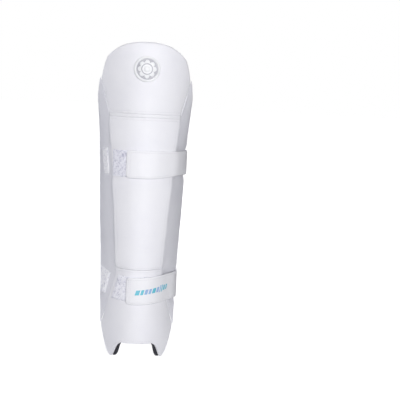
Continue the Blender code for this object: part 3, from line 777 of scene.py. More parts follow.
# ------------------------------------------------------------------ knee channel
def channel_place(across, up, layer):
    """The sewn strip in the channel between knee and shin."""
    half = (4.7, 4.9, 4.9, 4.6)[layer]
    z = KNEE_SEAM_Z + up * half
    x = across * (fold_x(z) - 0.5)
    crest = 0.75 + 1.35 * ease(2.4, 4.2, np.abs(up) * half) + 0.12 * undulate(x, z, 11.0, 23)
    return front(x, z, crest + (0, 0.3, 0.9, 1.2)[layer])


def bridge_place(across, up, layer):
    """The lining bridge behind the channel."""
    z = KNEE_SEAM_Z + up * (12.0, 12.4, 12.4, 12.0)[layer]
    x = across * (fold_x(z) - 8.0)
    return front(x, z, (12.9, 13.3, 14.2, 14.7)[layer] - 1.6 * (1 - up * up))


bend(slab("knee_channel_strip", both_sides(84), both_sides(25), channel_place, EDGE),
     knee_bend(2.8), "knee_hinge_strip")
bend(slab("knee_lining_bridge", both_sides(40), both_sides(15), bridge_place, NET),
     knee_bend(10))

# ------------------------------------------------------------------ ankle and instep
# one cover across the instep line that ends in two prongs
LOW_DEPTHS = np.array([0.0, 0.15, 0.45, 0.8, 1.05, 1.5, 2.4, 4.0, 5.8, 8.0, 9.4, 10.2, 10.7])
LOW_FREE = rolled(LOW_DEPTHS, size=3.4, back=2.6)
LOW_FADE_DEPTH = 11.0
LOW_TOP = 174.0


def soft_outline(outline, count=121):
    """The outline with its corners eased, as arrays of share, x and z."""
    shares, outline_x, outline_z = np.array(outline, float).T
    fine = steps(count)
    x, z = np.interp(fine, shares, outline_x), np.interp(fine, shares, outline_z)
    kernel = np.exp(-line(-2, 2, 9) ** 2)
    kernel /= kernel.sum()
    # run on past both ends: mirrored at the centre plane, turned about the side's end
    padded_x = np.concatenate([2 * x[0] - x[4:0:-1], x, 2 * x[-1] - x[-2:-6:-1]])
    padded_z = np.concatenate([z[4:0:-1], z, 2 * z[-1] - z[-2:-6:-1]])
    return fine, np.convolve(padded_x, kernel, "valid"), np.convolve(padded_z, kernel, "valid")


FLAP_SOFT = soft_outline(FLAP_OUTLINE)
LINING_SOFT = soft_outline(LINING_OUTLINE)


def outline_at(outline, away, inset):
    """The outline moved inwards: up across the cut-out, outwards then inwards round the prong."""
    shares, outline_x, outline_z = outline
    out = ease(0.42, 0.5, away) * (1 - ease(0.58, 0.68, away))
    back = ease(0.62, 0.78, away)
    tip = ease(0.42, 0.6, away) * (1 - 0.55 * ease(0.72, 1.0, away))
    x = np.interp(away, shares, outline_x) + inset * 0.95 * (out - back)
    z = np.interp(away, shares, outline_z) + inset * np.maximum(1 - ease(0.40, 0.5, away), tip)
    return x, z


def flap_xz(across, up, outline, inset, top, side):
    """Here up runs from the seam (0) down to the outline (1)."""
    away = np.abs(across)
    base_x, base_z = outline_at(outline, away, inset)
    corner_x, corner_z = outline_at(outline, 1.0, inset)
    top_x = fold_x(top) - side
    # between the seam and the flap's corners the sides keep to the fold line
    edge_x, edge_z = between(up, top_x, corner_x), between(up, top, corner_z)
    follow = (fold_x(edge_z) - side - edge_x) * (1 - ease(0.92, 1.0, up))
    x = between(up, away * top_x, base_x) + away**2.5 * follow
    return np.sign(across) * x, between(up, top, base_z)


def fork_thin(across, up):
    """The padding runs out towards the inner edges of the prongs."""
    away = np.abs(across)
    prong = ease(0.38, 0.47, away) * (1 - 0.8 * ease(0.66, 0.86, away))
    return 1 - 0.66 * ease(0.70, 0.99, up) * prong


def low_out(x, z):
    """Height of the ankle and instep cover over its plain shape."""
    out = relief(x, z, 33) + pucker(x, LOW_TOP - z, 35)
    out = out - 0.7 * valley(fold_x(z) - np.abs(x)) * ease(56, 72, z)
    return out + 0.9 * bell(z - 75.0, 28.0) * bell(x, 45.0)


def lower_place(across, up, layer):
    depth = LOW_DEPTHS[layer]
    x, z = flap_xz(across, up, FLAP_SOFT, LOW_FREE[layer], LOW_TOP - CLOSED[layer], 0.0)
    # beside the fold the edge takes the fold's profile
    trim = FOLD[layer] * ease(0.78, 1.0, np.abs(across)) * (1 - ease(0.86, 1.0, up))
    x = x - np.sign(across) * trim
    return front(x, z, depth * fork_thin(across, up) - low_out(x, z) * (1 - depth / LOW_FADE_DEPTH))


def low_lining_place(across, up, layer):
    inset = (0.5, 0.0, 0.1, 0.8)[layer]
    x, z = flap_xz(across, up, LINING_SOFT, inset, LOW_TOP + 0.05 - 0.1 * inset, 6.4 + inset)
    depth = (10.4, 10.9, 12.3, 12.9)[layer] + 2.2 * ease(158, LOW_TOP, z)
    uneven = quilt(layer, x, z, height=0.2, length=26.0, seed=39)
    return front(x, z, depth * fork_thin(across, up) + uneven)


def flap_columns(count):
    """Closer columns round the prongs."""
    return mirrored(np.concatenate([line(0, 0.40, count, endpoint=False),
                                    line(0.40, 0.72, int(count * 1.7), endpoint=False),
                                    line(0.72, 1.0, count)]))


bend(slab("ankle_instep_cover", flap_columns(22), steps(92), lower_place, WHITE,
          len(LOW_DEPTHS)),
     INSTEP_BEND, "ankle_face", "ankle_core", "instep_face", "instep_core", "instep_hinge_strip",
     "instep_binding")
bend(slab("ankle_instep_lining", flap_columns(16), steps(60), low_lining_place, NET),
     INSTEP_BEND, "ankle_lining", "instep_lining")

# piping round the fork, just inside its front edge, thinning towards both ends
PIPING_END = 0.965
edge_share = mirrored(line(0, PIPING_END, 150))
piping_path, piping_normals = on_front(*flap_xz(edge_share, 1.0, FLAP_SOFT, 0.9, LOW_TOP, 0.0), -0.7)
bend(cord("instep_edge_piping", piping_path,
          0.25 + 0.9 * ease(0.0, 0.16, PIPING_END - np.abs(edge_share)), normals=piping_normals),
     INSTEP_BEND)

# ------------------------------------------------------------------ wings
WING_LAYERS = np.array([0.0, 0.2, 0.6, 1.2, 2.2, 3.6, 5.2, 7.0, 8.2, 8.9])
WING_FOLD_IN = np.array([0.35, -0.1, -0.45, -0.35, 0.3, 1.4, 2.6, 3.6, 4.4, 5.6])
WING_REAR_IN = rolled(WING_LAYERS, size=4.2, back=2.6)
WING_END_IN = rolled(WING_LAYERS, size=2.6, back=1.8)
WING_FADE_DEPTH = 9.0

# The wing is sewn to the flap's side at its low end, so it comes in lengths: the tip beside the flap,
# the next up to where the wing calms, then the wing proper, and the gusset beside the knee last.
# cover, lining, piping and sewing are (low z, high z, rows);
# rolled says whether the low and high ends are rolled (1) or cut flat to meet a neighbour (0);
# replaced lists the frame nodes that the cover, the lining and the piping stand for.
WingPart = namedtuple("WingPart", "stem joint rolled cover lining piping sewing replaced")
WING_PARTS = (
    WingPart("wing_tip_", INSTEP_BEND, (1, 0), (WING_LOW, WING_TIP, 34),
             (WING_LOW + 14, WING_TIP, 17), (WING_LOW + 8, WING_TIP, 42),
             (WING_LOW + 26, WING_TIP - 1, 94), ((), (), ())),
    WingPart("wing_low_", LOW_WING_BEND, (0, 0), (WING_TIP, WING_CALM, 38),
             (WING_TIP, WING_CALM, 19), (WING_TIP, WING_CALM, 46),
             (WING_TIP + 1, WING_CALM - 1, 98), ((), (), ())),
    WingPart("wing_", HIGH_WING_BEND, (0, 0), (WING_CALM, WING_SPLIT, 148),
             (WING_CALM, WING_SPLIT, 74), (WING_CALM, WING_SPLIT, 156),
             (WING_CALM + 1, WING_SPLIT - 3, 208),
             (("wing_face", "wing_core"), ("wing_lining",), ("wing_binding",))),
    WingPart("gusset_", GUSSET_BEND, (0, 1), (WING_SPLIT, WING_TOP, 44),
             (WING_SPLIT, WING_TOP - 20, 26), (WING_SPLIT, WING_TOP - 5, 40),
             None, (("gusset",), (), ())),
)
SIDES = ((-1, "left"), (1, "right"))


def wing_thin(length):
    """The padding runs out where the wing narrows to nothing at its two ends."""
    return np.minimum(1.0, 0.10 + length / 30.0)


def wing_dive(z):
    """At its top the gusset sinks into the middle of the knee's rolled edge."""
    return 2.6 * ease(500, 531, z)


def wing_puff(along, z, length):
    """Height of the cover over the wing's plain shape, at a distance along from the fold: flat
    beside the fold, where it passes under the front cover's lip, and fuller towards the rear."""
    share = np.clip(along / length, 0, 1)
    out = 0.28 * undulate(along, z, 70.0, 43) + 0.1 * undulate(along, z, 22.0, 44)
    out = out - 7.2 * share * (1 - share) ** 2 * np.minimum(1.0, length / 40.0)
    return out * ease(0, 14, length) - 1.25 * bell(np.maximum(along, 0), 18.0) * ease(0, 20, length)


def cinch(side, along, z):
    """How far the pull of the two closed tabs presses into the right wing."""
    if side < 0:
        return 0.0
    press = 0.0
    for low, high, deep in ((UPPER_STRAP_Z[0] + 4, UPPER_STRAP_Z[1], 2.9), (*LOWER_STRAP_Z, 2.7)):
        press = press + deep * ease(low - 14, low + 3, z) * (1 - ease(high - 3, high + 14, z))
    return press * ease(2, 18, along)


def wing_share(across, length, fold_in, rear_in):
    """Share of the wing's length, for a place between edges set in from the fold and the rear."""
    room = np.minimum(1.0, length / 16.0)
    return between(across, fold_in * room / length, 1 - rear_in * room / length)


def wing_place(side, low, high, low_roll, high_roll):
    def place(across, up, layer):
        depth, end_in = WING_LAYERS[layer], WING_END_IN[layer]
        z = between(up, low + end_in * low_roll, high - end_in * high_roll)
        length = np.maximum(wing_length(z), 1.2)
        share = wing_share(across, length, WING_FOLD_IN[layer], WING_REAR_IN[layer])
        along = share * length
        down = (wing_dive(z) + cinch(side, along, z) * (1 - 0.5 * depth / WING_FADE_DEPTH)
                - wing_puff(along, z, length) * (1 - depth / WING_FADE_DEPTH))
        return wing(side, share, z, down + depth * wing_thin(length))
    return place


def wing_lining_place(side, low, high, low_roll, high_roll):
    def place(across, up, layer):
        depth, inset = (8.6, 9.1, 10.2, 10.8)[layer], (0.6, 0.2, 0.3, 1.0)[layer]
        z = between(up, low + inset * low_roll, high - inset * high_roll)
        length = np.maximum(wing_length(z), 2.2)
        share = wing_share(across, length, 5.0 + inset, 2.0 + inset)
        channels = 0.35 * np.cos(2 * math.pi * share * length / 17.0) if layer == 3 else 0.0
        return wing(side, share, z, wing_dive(z) + (depth + channels) * wing_thin(length))
    return place


def wing_piping(name, side, low, high, rows):
    """Piping along the rear edge, towards its inner face."""
    z = line(low, high, rows)
    length = wing_length(z)
    path = wing(side, 1 - 0.2 / length, z, wing_dive(z) + 8.4 * wing_thin(length))
    return cord(name, path, 1.25 * ease(-4, 30, length))


def groove_place(side, low, high):
    """The joining strip at the bottom of the fold, under both lips."""
    def place(across, up, layer):
        z = between(up, low, high)
        offset = across * (1.5, 1.7, 1.7, 1.4)[layer]
        depth = (4.6, 5.0, 5.8, 6.2)[layer] + 0.3 * across * across
        length = np.maximum(wing_length(z), 6.0)
        on_shell = front(side * (fold_x(z) + np.minimum(offset, 0)), z, depth)
        on_side = wing(side, np.maximum(offset, 0) / length, z, depth)
        return between(ease(-1.2, 1.2, offset)[:, None], on_shell, on_side)
    return place


# the joining strip is real; its grey colour is painted shade deep in the fold's groove
def fold_seam(name, side, low, high, rows):
    return slab(name, both_sides(13), steps(rows), groove_place(side, low, high),
                GREY_PAINTED_SHADE)


for side, word in SIDES:
    for part in WING_PARTS:
        nodes = [[f"{word}_{node}" for node in group] for group in part.replaced]
        low, high, rows = part.cover
        # the wing covers take the white leather darkened as painted shade
        piece = slab(f"{word}_{part.stem}cover", steps(40), steps(rows),
                     wing_place(side, low, high, *part.rolled), WING_LEATHER_PAINTED_SHADE,
                     len(WING_LAYERS), sharp=40)
        bend(piece, part.joint, *nodes[0], word=word)
        low, high, rows = part.lining
        piece = slab(f"{word}_{part.stem}lining_net", steps(34), steps(rows),
                     wing_lining_place(side, low, high, *part.rolled), NET, sharp=40)
        bend(piece, part.joint, *nodes[1], word=word)
    for part in WING_PARTS:
        bend(wing_piping(f"{word}_{part.stem}piping", side, *part.piping), part.joint,
             *[f"{word}_{node}" for node in part.replaced[2]], word=word)
    bend(fold_seam(f"{word}_fold_seam_low", side, 72.0, WING_TIP, 22), INSTEP_BEND)
    ride(fold_seam(f"{word}_fold_seam", side, WING_TIP, WING_SPLIT, 118),
         "shin", f"{word}_fold_strip")
    bend(fold_seam(f"{word}_fold_seam_upper", side, WING_SPLIT, 527.0, 40), GUSSET_BEND)


# ------------------------------------------------------------------ the knee's edge tape
def tape_path():
    """The free edge of the knee from one apex over the top to the other, as (x, z)."""
    z = line(APEX_Z - 20, CORNER_Z, 36)
    left = np.stack([-(knee_side_x(z) - 1.6 * (1 - ease(APEX_Z - 20, APEX_Z - 4, z))), z], -1)
    top = np.stack(knee_xz(both_sides(120)[1:-1], 1.0, 0.0, 0.0, 0.0), -1)
    return np.concatenate([left, top, left[::-1] * np.array([-1, 1])])


tape_rim = settle(tape_path(), 3)
rim_tangent = unit(np.gradient(tape_rim, axis=0))
rim_outward = np.stack([-rim_tangent[:, 1], rim_tangent[:, 0]], -1)


def tape_place(index, up, layer):
    lift, trim = (0.5, 0.4, -0.5, -0.9)[layer], (0.45, 0.0, 0.0, 0.4)[layer]
    depth = between(up, 8.4 + trim, 15.6 - trim)
    # the tape turns in over the lining at the back
    turn = ease(12.2, 15.6, depth) ** 2 * 2.2
    x, z = (tape_rim[index] + rim_outward[index] * (lift - turn)[:, None]).T
    return front(x, z, depth)


ride(slab("knee_edge_tape", np.arange(len(tape_rim)), steps(12), tape_place, EDGE),
     "knee", "knee_binding")


# ------------------------------------------------------------------ stitching on the covers
def row_on(out, x, z):
    """A sewn row on a cover whose height over the plain shape is out(x, z)."""
    x, z = np.broadcast_arrays(np.asarray(x, float), np.asarray(z, float))
    return on_front(x, z, out(x, z) + 0.1)


def cross_row(out, z, side_in):
    """A row from side to side at one height."""
    return row_on(out, both_sides(90) * (fold_x(z) - side_in), z)


def fold_rows(out, z):
    """Rows beside the two folds."""
    return [row_on(out, side * (fold_x(z) - 5.6), z) for side, _ in SIDES]


ride(stitches("knee_seam_stitches", [cross_row(knee_out, KNEE_BOTTOM + 4.6, 4.0)]), "knee")
ride(stitches("shin_seam_stitches",
              [cross_row(shin_out, SHIN_TOP - 4.6, 4.0), cross_row(shin_out, SHIN_BOTTOM + 3.6, 4.0),
               *fold_rows(shin_out, line(SHIN_BOTTOM + 4, SHIN_TOP - 5, 240))]), "shin")
ride(stitches("knee_side_stitches", fold_rows(knee_out, line(KNEE_BOTTOM + 5, APEX_Z - 8, 60))),
     "knee")


def wing_row(side, along, z, length):
    height = wing_puff(along, z, length) - cinch(side, along, z) - wing_dive(z) + 0.12
    return with_normals(lambda lift: wing(side, along / length, z, -lift), height)


for side, word in SIDES:
    for part in WING_PARTS[:-1]:
        z = line(*part.sewing)
        length = wing_length(z)
        rows = [wing_row(side, along, z, length) for along in (np.full(len(z), 5.2), length - 6.0)]
        bend(stitches(f"{word}_{part.stem}stitches", rows), part.joint, word=word)

fork_x, fork_z = flap_xz(mirrored(line(0, 0.93, 120)), 1.0, FLAP_SOFT, 4.9, LOW_TOP, 0.0)
bend(stitches("instep_edge_stitches", [row_on(low_out, fork_x, fork_z)]), INSTEP_BEND)
ride(stitches("ankle_seam_stitches", [cross_row(low_out, LOW_TOP - 4.2, 4.4)]), "shin")

# ------------------------------------------------------------------ badge
BADGE_SCALE = 0.95
BADGE_SIDES = 160
# name, material, petals, frame nodes replaced, profile of (radius, height over the cover)
BADGE_PARTS = (
    # the backing and the inner ring are grey as painted shade in the badge's recesses
    ("badge_backing", RUBBER_PAINTED_SHADE, 0, ("badge_base",),
     [(2.0, 0.7), (8.0, 0.7), (13.0, 0.7), (18.0, 0.75), (20.4, 0.8), (21.2, 0.9), (24.2, 0.9),
      (24.8, 0.5), (24.9, -0.2), (24.0, -0.6), (2.0, -0.6)]),
    ("badge_rim", RUBBER, 0, ("badge_ring",),
     [(19.9, 0.6), (20.0, 2.2), (20.5, 3.1), (21.5, 3.6), (23.0, 3.6), (24.2, 3.0), (24.8, 2.1),
      (24.9, 0.9), (23.0, 0.6), (21.4, 0.6)]),
    ("badge_rosette", RUBBER, 8, (),
     [(5.0, 1.9), (11.0, 2.1), (14.5, 2.3), (16.6, 2.2), (17.6, 1.7), (17.9, 1.1), (17.7, 0.6),
      (5.0, 0.6)]),
    ("badge_inner_ring", RUBBER_PAINTED_SHADE, 0, (),
     [(9.0, 1.9), (9.1, 2.7), (9.6, 3.1), (10.3, 3.1), (10.8, 2.7), (10.9, 1.9), (10.0, 1.8)]),
    ("badge_centre", RUBBER, 0, ("badge_boss",),
     [(0.3, 3.9), (2.4, 3.85), (4.2, 3.6), (5.4, 3.1), (6.0, 2.4), (6.1, 1.6), (3.0, 1.4),
      (0.3, 1.4)]),
)


def badge_disc(name, profile, material, petals):
    """A turned profile bent to the cover; petals scallop its outline."""
    angle = np.arange(BADGE_SIDES) * 2 * math.pi / BADGE_SIDES
    scallop = 0.70 + 0.30 * np.abs(np.cos(angle * petals / 2)) ** 0.7 if petals else 1.0
    points = []
    for radius, height in profile:
        reach = max(radius * BADGE_SCALE, 0.02) * scallop
        x, z = reach * np.cos(angle), BADGE_Z + reach * np.sin(angle)
        points.append(front(x, z, -(height + knee_crown(x, z) + relief(x, z, 3))))
    return make(name, np.concatenate(points), ring_faces(len(profile), BADGE_SIDES), material,
                sharp=50)


for name, material, petals, replaced, profile in BADGE_PARTS:
    ride(badge_disc(name, profile, material, petals), "knee", *replaced)


# ------------------------------------------------------------------ hook-and-loop patches
def patch(stem, columns, rows, corner, surface, seed, material=LOOP):
    """A patch of loop pile: a matted sheet with an uneven top and a pressed-down sewn border.
    corner(across, up, inset) gives the place along the surface, z and distance from the edge."""
    def place(across, up, layer):
        along, z, edge = corner(across, up, (1.0, 0.3, 0.0, 0.4)[layer])
        if layer:
            return surface(along, z, (0.6, 0.25, 0.0)[layer - 1])
        fluff = (0.22 * undulate(along, z, 3.4, seed) + 0.2 * undulate(along, z, 7.5, seed + 1)
                 + 0.12 * undulate(along, z, 1.9, seed + 2))
        return surface(along, z, 0.75 + 0.75 * ease(0.8, 3.4, edge) + fluff * ease(0.5, 2.5, edge))
    piece = slab(f"{stem}_loop_pile", steps(columns), steps(rows), place, material)
    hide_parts(f"{stem}_loop_patch")
    return piece


def box_corner(start, end, low, high):
    """A patch with level ends; start is a length or a rule that gives one for z."""
    def corner(across, up, inset):
        z = between(up, low + inset, high - inset)
        first = start(z) if callable(start) else start
        along = between(across, first + inset, end - inset)
        edge = np.minimum(np.minimum(along - first, end - along), np.minimum(z - low, high - z))
        return along, z, edge
    return corner


def slanted_corner(across, up, inset):
    """Cut on the slant: narrow near the fold, deeper towards the wing's rear edge."""
    low = LOWER_STRAP_Z[0] + 8.0 - 4.0 * across + inset
    high = LOWER_STRAP_Z[1] - 1.0 + 8.0 * across - inset
    z = between(up, low, high)
    start, end = 14.8 + 0.06 * (z - 116.0), wing_length(z) * 0.92
    along = between(across, start + inset, end - inset)
    edge = np.minimum(np.minimum(along - start, end - along), np.minimum(z - low, high - z) + inset)
    return along, z, edge


def above_cover(out):
    return lambda x, z, height: front(x, z, -(height + out(x, z)))


def above_left_wing(along, z, height):
    length = wing_length(z)
    return wing(-1, along / length, z, -(height + wing_puff(along, z, length)))


ride(patch("upper", 110, 64, box_corner(-57.4, 34.0, UPPER_STRAP_Z[0] + 1, UPPER_STRAP_Z[1] - 1),
           above_cover(shin_out), seed=51), "shin")
ride(patch("lower", 100, 60, box_corner(lambda z: -(fold_x(z) - 5.2), 30.0,
                                        LOWER_STRAP_Z[0] + 3, LOWER_STRAP_Z[1] - 1),
           above_cover(low_out), seed=61, material=LOOP_PALE), "shin")
ride(patch("left_upper", 30, 60, box_corner(13.0, 35.0, UPPER_STRAP_Z[0] + 2, UPPER_STRAP_Z[1] + 1),
           above_left_wing, seed=71, material=LOOP_WHITE), "left_wing")
bend(patch("left_lower", 40, 60, slanted_corner, above_left_wing, seed=81, material=LOOP_WHITE),
     LOW_WING_BEND, word="left")

# ------------------------------------------------------------------ straps
ELASTIC_THICK = 2.2
ELASTIC_DEPTH = 12.8    # depth at which the elastic runs behind the wing
ROOT_SHARE = 0.36       # where the elastic's neck meets the wing, as a share of its length
TAB_INNER, TAB_THICK = -1.15, 2.3
TAB_WAVE, TAB_SEED = 0.12, 95
SEWING_IN = 4.0         # stitch rows lie this far in from a tab's edges
DASH_START, DASH_GAP = 18.5, 2.1


def hull_right(points):
    """The part of the plan's convex hull on its low-y side, from low x to high x."""
    def turn(first, second, third):
        return ((second[0] - first[0]) * (third[1] - first[1])
                - (second[1] - first[1]) * (third[0] - first[0]))
    chain = []
    for point in sorted(set(points)):
        while len(chain) >= 2 and turn(chain[-2], chain[-1], point) <= 0:
            chain.pop()
        chain.append(point)
    return chain


def pad_plan(z_range, x_start):
    """The line in plan that a taut strap takes round the pad's right side."""
    points = []
    for z in line(*z_range, 5):
        shell = [(x, cover_y(x, z)) for x in line(x_start, float(fold_x(z)), 13)]
        points += [(round(float(x), 3), round(float(y), 3))
                   for x, y in shell + [point[:2] for point in wing(1, line(0.1, 1.0, 7), z, 0.0)]]
    starts = [point for point in points if point[0] <= x_start + 0.01]
    rest = [point for point in points if point[0] > x_start + 0.01]
    return hull_right([min(starts, key=lambda point: point[1])] + rest)


def cut_corners(path, passes):
    path = np.asarray(path, float)
    for _ in range(passes):
        start, end = path[:-1], path[1:]
        middle = np.stack([start * 0.75 + end * 0.25, start * 0.25 + end * 0.75], 1).reshape(-1, 2)
        path = np.concatenate([path[:1], middle, path[-1:]])
    return path


class Ribbon:
    """A strap's line in plan: points, outward normals and distance along it."""

    STEP = 1.5

    def __init__(self, path, passes):
        path = cut_corners(path, 3)
        run = run_lengths(path)
        self.length = run[-1]
        self.run = line(0, self.length, max(3, int(self.length / self.STEP)))
        self.points = settle(sample(path, run, self.run), passes)
        along = unit(np.gradient(self.points, axis=0))
        self.normals = np.stack([along[:, 1], -along[:, 0]], -1)

    def at(self, along, z, off):
        plan = sample(self.points, self.run, along)
        plan = plan + sample(self.normals, self.run, along) * np.asarray(off)[..., None]
        return np.column_stack([plan, z])

    def nearest(self, point):
        return np.argmin(np.linalg.norm(self.points - point, axis=1))

    def row(self, along, z):
        """A stitch row on the strap's outer face."""
        return with_normals(lambda off: self.at(along, z, off), 1.2)


def strap_lines(z_range, tab_end_x, calf_y, rear_x, pull, aside_x):
    """The elastic's and the tab's lines, and the y at which each one's hinge falls."""
    middle = sum(z_range) / 2
    outline = cut_corners(pad_plan(z_range, tab_end_x), 1)
    right = outline[-1] + np.array([aside_x, 9.0])
    leave = wing(-1, [0.9, 1.0], middle, ELASTIC_DEPTH)[:, :2]
    along = unit(leave[1] - leave[0])
    left = leave[1] + along * 9.0
    start, stop = left + along * 2.6, right + np.array([0.0, 2.6])
    beyond = stop + np.array([1.0, 16.0])

    # the elastic: from inside the wing, out past its rear edge and round the calf
    root = wing(-1, [0.34, 0.5, 0.7, 0.9], middle, ELASTIC_DEPTH + 1.1)[:, :2]
    elastic = Ribbon([
        *root, left, start, start + np.array([-1.0, 16.0]), (-rear_x * 0.78, calf_y - 15.0),
        (-rear_x * 0.4, calf_y - 2.5), (0.0, calf_y), (rear_x * 0.42, calf_y - 2.5),
        (rear_x * 0.82, calf_y - 16.0), beyond], 12)

    # the tab: outside the pad, from the front to behind the right hinge
    front_line = Ribbon(outline, 6)
    run = front_line.run
    outer = front_line.at(run, np.zeros(len(run)), 4.0 - pull * ease(45, 95, run))[:, :2]
    tab = Ribbon([*outer[:-4], right - np.array([0.0, 2.6]), stop, beyond], 10)
    return elastic, tab, elastic.points[elastic.nearest(left)][1], right


def sway(along, z, wave, seed):
    return (wave * undulate(along, z * 0.35, 34.0, seed)
            + 0.10 * undulate(along, z, 18.0, seed + 1))


def strap_piece(name, ribbon, start, end, edges, inner, thick, material, seed,
                corner=0.0, step=1.6, wave=0.0, narrow=0.0):
    """A length of strap with softened edges. edges(along) gives its lower and upper z, inner is
    its inner face's offset, corner rounds its first end and narrow is taken off each edge."""
    layers = [(0.9, 1.0), (0.3, 0.86), (0.0, 0.5), (0.3, 0.14), (0.9, 0.0)]  # inset, thickness share

    def place(across, up, layer):
        inset, share = layers[layer]
        along = between(across, start + inset, end - inset)
        near = np.clip(corner - (along - start), 0, corner)
        drop = corner - np.sqrt(np.maximum(corner**2 - near**2, 0))
        low, high = edges(along)
        margin = narrow + inset + drop
        z = between(up, low + margin, high - margin)
        return ribbon.at(along, z, inner + thick * share + sway(along, z, wave, seed))
    return slab(name, steps(max(8, int((end - start) / step))), steps(27), place, material,
                len(layers))


def bend_at_y(piece, first, second, y, reach, *replaced):
    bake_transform(piece)
    if replaced:
        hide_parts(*replaced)


def tab_stitching(prefix, tab, edges, hinge_run):
    """A frame round the tab's free end, and a boxed cross where the tab meets the elastic."""
    def upright(along):
        low, high = edges(along)
        return line(low + SEWING_IN, high - SEWING_IN, 24)

    def upright_row(along):
        return tab.row(np.full(24, along), upright(along))

    def edge_rows(start, end, count):
        along = line(start, end, count)
        low, high = edges(along)
        return [tab.row(along, low + SEWING_IN), tab.row(along, high - SEWING_IN)]

    frame_rows = edge_rows(4.5, hinge_run - 14.0, 90) + [upright_row(4.5), upright_row(8.5)]
    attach(stitches(f"{prefix}_tab_stitches", frame_rows), f"{prefix}_tab")
    start, end = tab.length - 17.0, tab.length - 4.0
    box_rows = [upright_row(start), upright_row(end), *edge_rows(start, end, 8),
                tab.row(line(start, end, 24), upright(start)),
                tab.row(line(start, end, 24), upright(start)[::-1])]
    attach(stitches(f"{prefix}_join_stitches", box_rows), f"{prefix}_band")


def strap_root(prefix, z_range):
    """The strap's root sewn down inside beside the fold, and its neck from there to the wing."""
    low, high = z_range
    lining_depth = 15.0 if low > SHIN_SEAM_Z else 12.9

    def anchor_place(across, up, layer):
        inset = (0.5, 0.0, 0.0, 0.5)[layer]
        z = between(up, low + 3 + inset, high - 3 - inset)
        x = -(fold_x(z) - 9.5 - inset - across * (10.0 - 2 * inset))
        return front(x, z, lining_depth + (0.0, 0.4, 1.3, 1.8)[layer])

    def neck_place(across, up, layer):
        inset = (0.4, 0.0, 0.0, 0.4)[layer]
        z = between(up, low + 1 + inset, high - 1 - inset)
        at_tape = front(-(fold_x(z) - 10.0), z, lining_depth + 1.9)
        at_wing = wing(-1, ROOT_SHARE, z, ELASTIC_DEPTH + 1.1)
        bow = np.sin(math.pi * across)[:, None] * np.array([0.4, 2.0, 0.0])
        thick = np.array([0.6, 0.6, 0.0]) * (-1.0, -0.8, 0.8, 1.0)[layer]
        return between(across[:, None], at_tape, at_wing) + bow + thick

    ride(slab(f"{prefix}_root_tape", steps(14), steps(40), anchor_place, ELASTIC),
         "shin", f"{prefix}_strap_anchor")
    ride(slab(f"{prefix}_root_neck", steps(16), steps(40), neck_place, ELASTIC), "shin")


def tab_dashes(prefix, tab, edges, dashes):
    """A row of slanted printed dashes, each (width, height, ink)."""
    def dash_place(start, width, tall):
        def place(across, up, layer):
            trim = (0.25, 0.05, 0.0, 0.0)[layer]
            along = between(across, start + trim, start + width - trim)
            low, high = edges(along)
            middle = (low + high) / 2 - 2.5 + 0.06 * (along - DASH_START)
            z = middle + (up - 0.5) * (tall - 2 * trim)
            along = along + (up - 0.5) * tall * 0.28
            off = TAB_INNER + TAB_THICK + (0.22, 0.18, -0.1, -0.3)[layer]
            return tab.at(along, z, off + sway(along, z, TAB_WAVE, TAB_SEED))
        return place

    start = DASH_START
    for i, (width, tall, ink) in enumerate(dashes):
        ride(slab(f"{prefix}_tab_dash_{i + 1}", steps(7), steps(9), dash_place(start, width, tall),
                  ink), f"{prefix}_tab")
        start += width + DASH_GAP


def strap(prefix, z_range, form, dashes, **plan):
    """A whole strap; form(along) gives how far the tab's lower and upper edges move."""
    elastic, tab, root_y, right_hinge = strap_lines(z_range, **plan)
    hinge_y = right_hinge[1]
    band_body, tab_body = f"{prefix}_band", f"{prefix}_tab"

    def edges(along):
        low, high = form(along)
        return z_range[0] + low, z_range[1] + high

    band_edges = edges(tab.length)
    piece = strap_piece(f"{prefix}_elastic", elastic, 0.0, elastic.length - 1.0,
                        lambda along: band_edges, inner=-1.1, thick=ELASTIC_THICK,
                        material=ELASTIC, seed=91, step=2.0, wave=0.5, narrow=0.6)
    bend_at_y(piece, "shin", band_body, root_y, 5.0,
              f"{prefix}_strap_root", f"{prefix}_strap_band")
    piece = strap_piece(f"{prefix}_tab_cover", tab, 0.0, tab.length - 0.5, edges, inner=TAB_INNER,
                        thick=TAB_THICK, material=TAB, seed=TAB_SEED, corner=6.0,
                        wave=TAB_WAVE)
    bend_at_y(piece, tab_body, band_body, hinge_y, 6.0, f"{prefix}_strap_tab")

    # a thin grey cord along the lower edge, a painted shadow line under the tab
    along = line(5.0, tab.length - 3.0, 150)
    piece = cord(f"{prefix}_tab_edge_shadow_cord", tab.at(along, edges(along)[0] + 0.4, 0.1), 0.66,
                 GREY_PAINTED_SHADE, sides=8)
    bend_at_y(piece, tab_body, band_body, hinge_y, 6.0)

    tab_stitching(prefix, tab, edges, tab.run[tab.nearest(right_hinge)])
    # hook strip under the free end
    piece = strap_piece(f"{prefix}_hook_strip", tab, 3.0, 42.0, edges, inner=-2.25, thick=1.0,
                        material=HOOK, seed=97, corner=3.0, narrow=2.5)
    ride(piece, tab_body, f"{prefix}_hook_patch")
    strap_root(prefix, z_range)
    tab_dashes(prefix, tab, edges, dashes)


def upper_form(along):
    """The upper tab narrows, mostly from below, on its way to the elastic."""
    narrowing = ease(40, 125, along)
    return 5.5 * narrowing, -0.6 * narrowing


def lower_form(along):
    """The lower tab dips a little towards its free end."""
    dip = -2.0 + 3.5 * ease(10, 105, along)
    return dip, dip


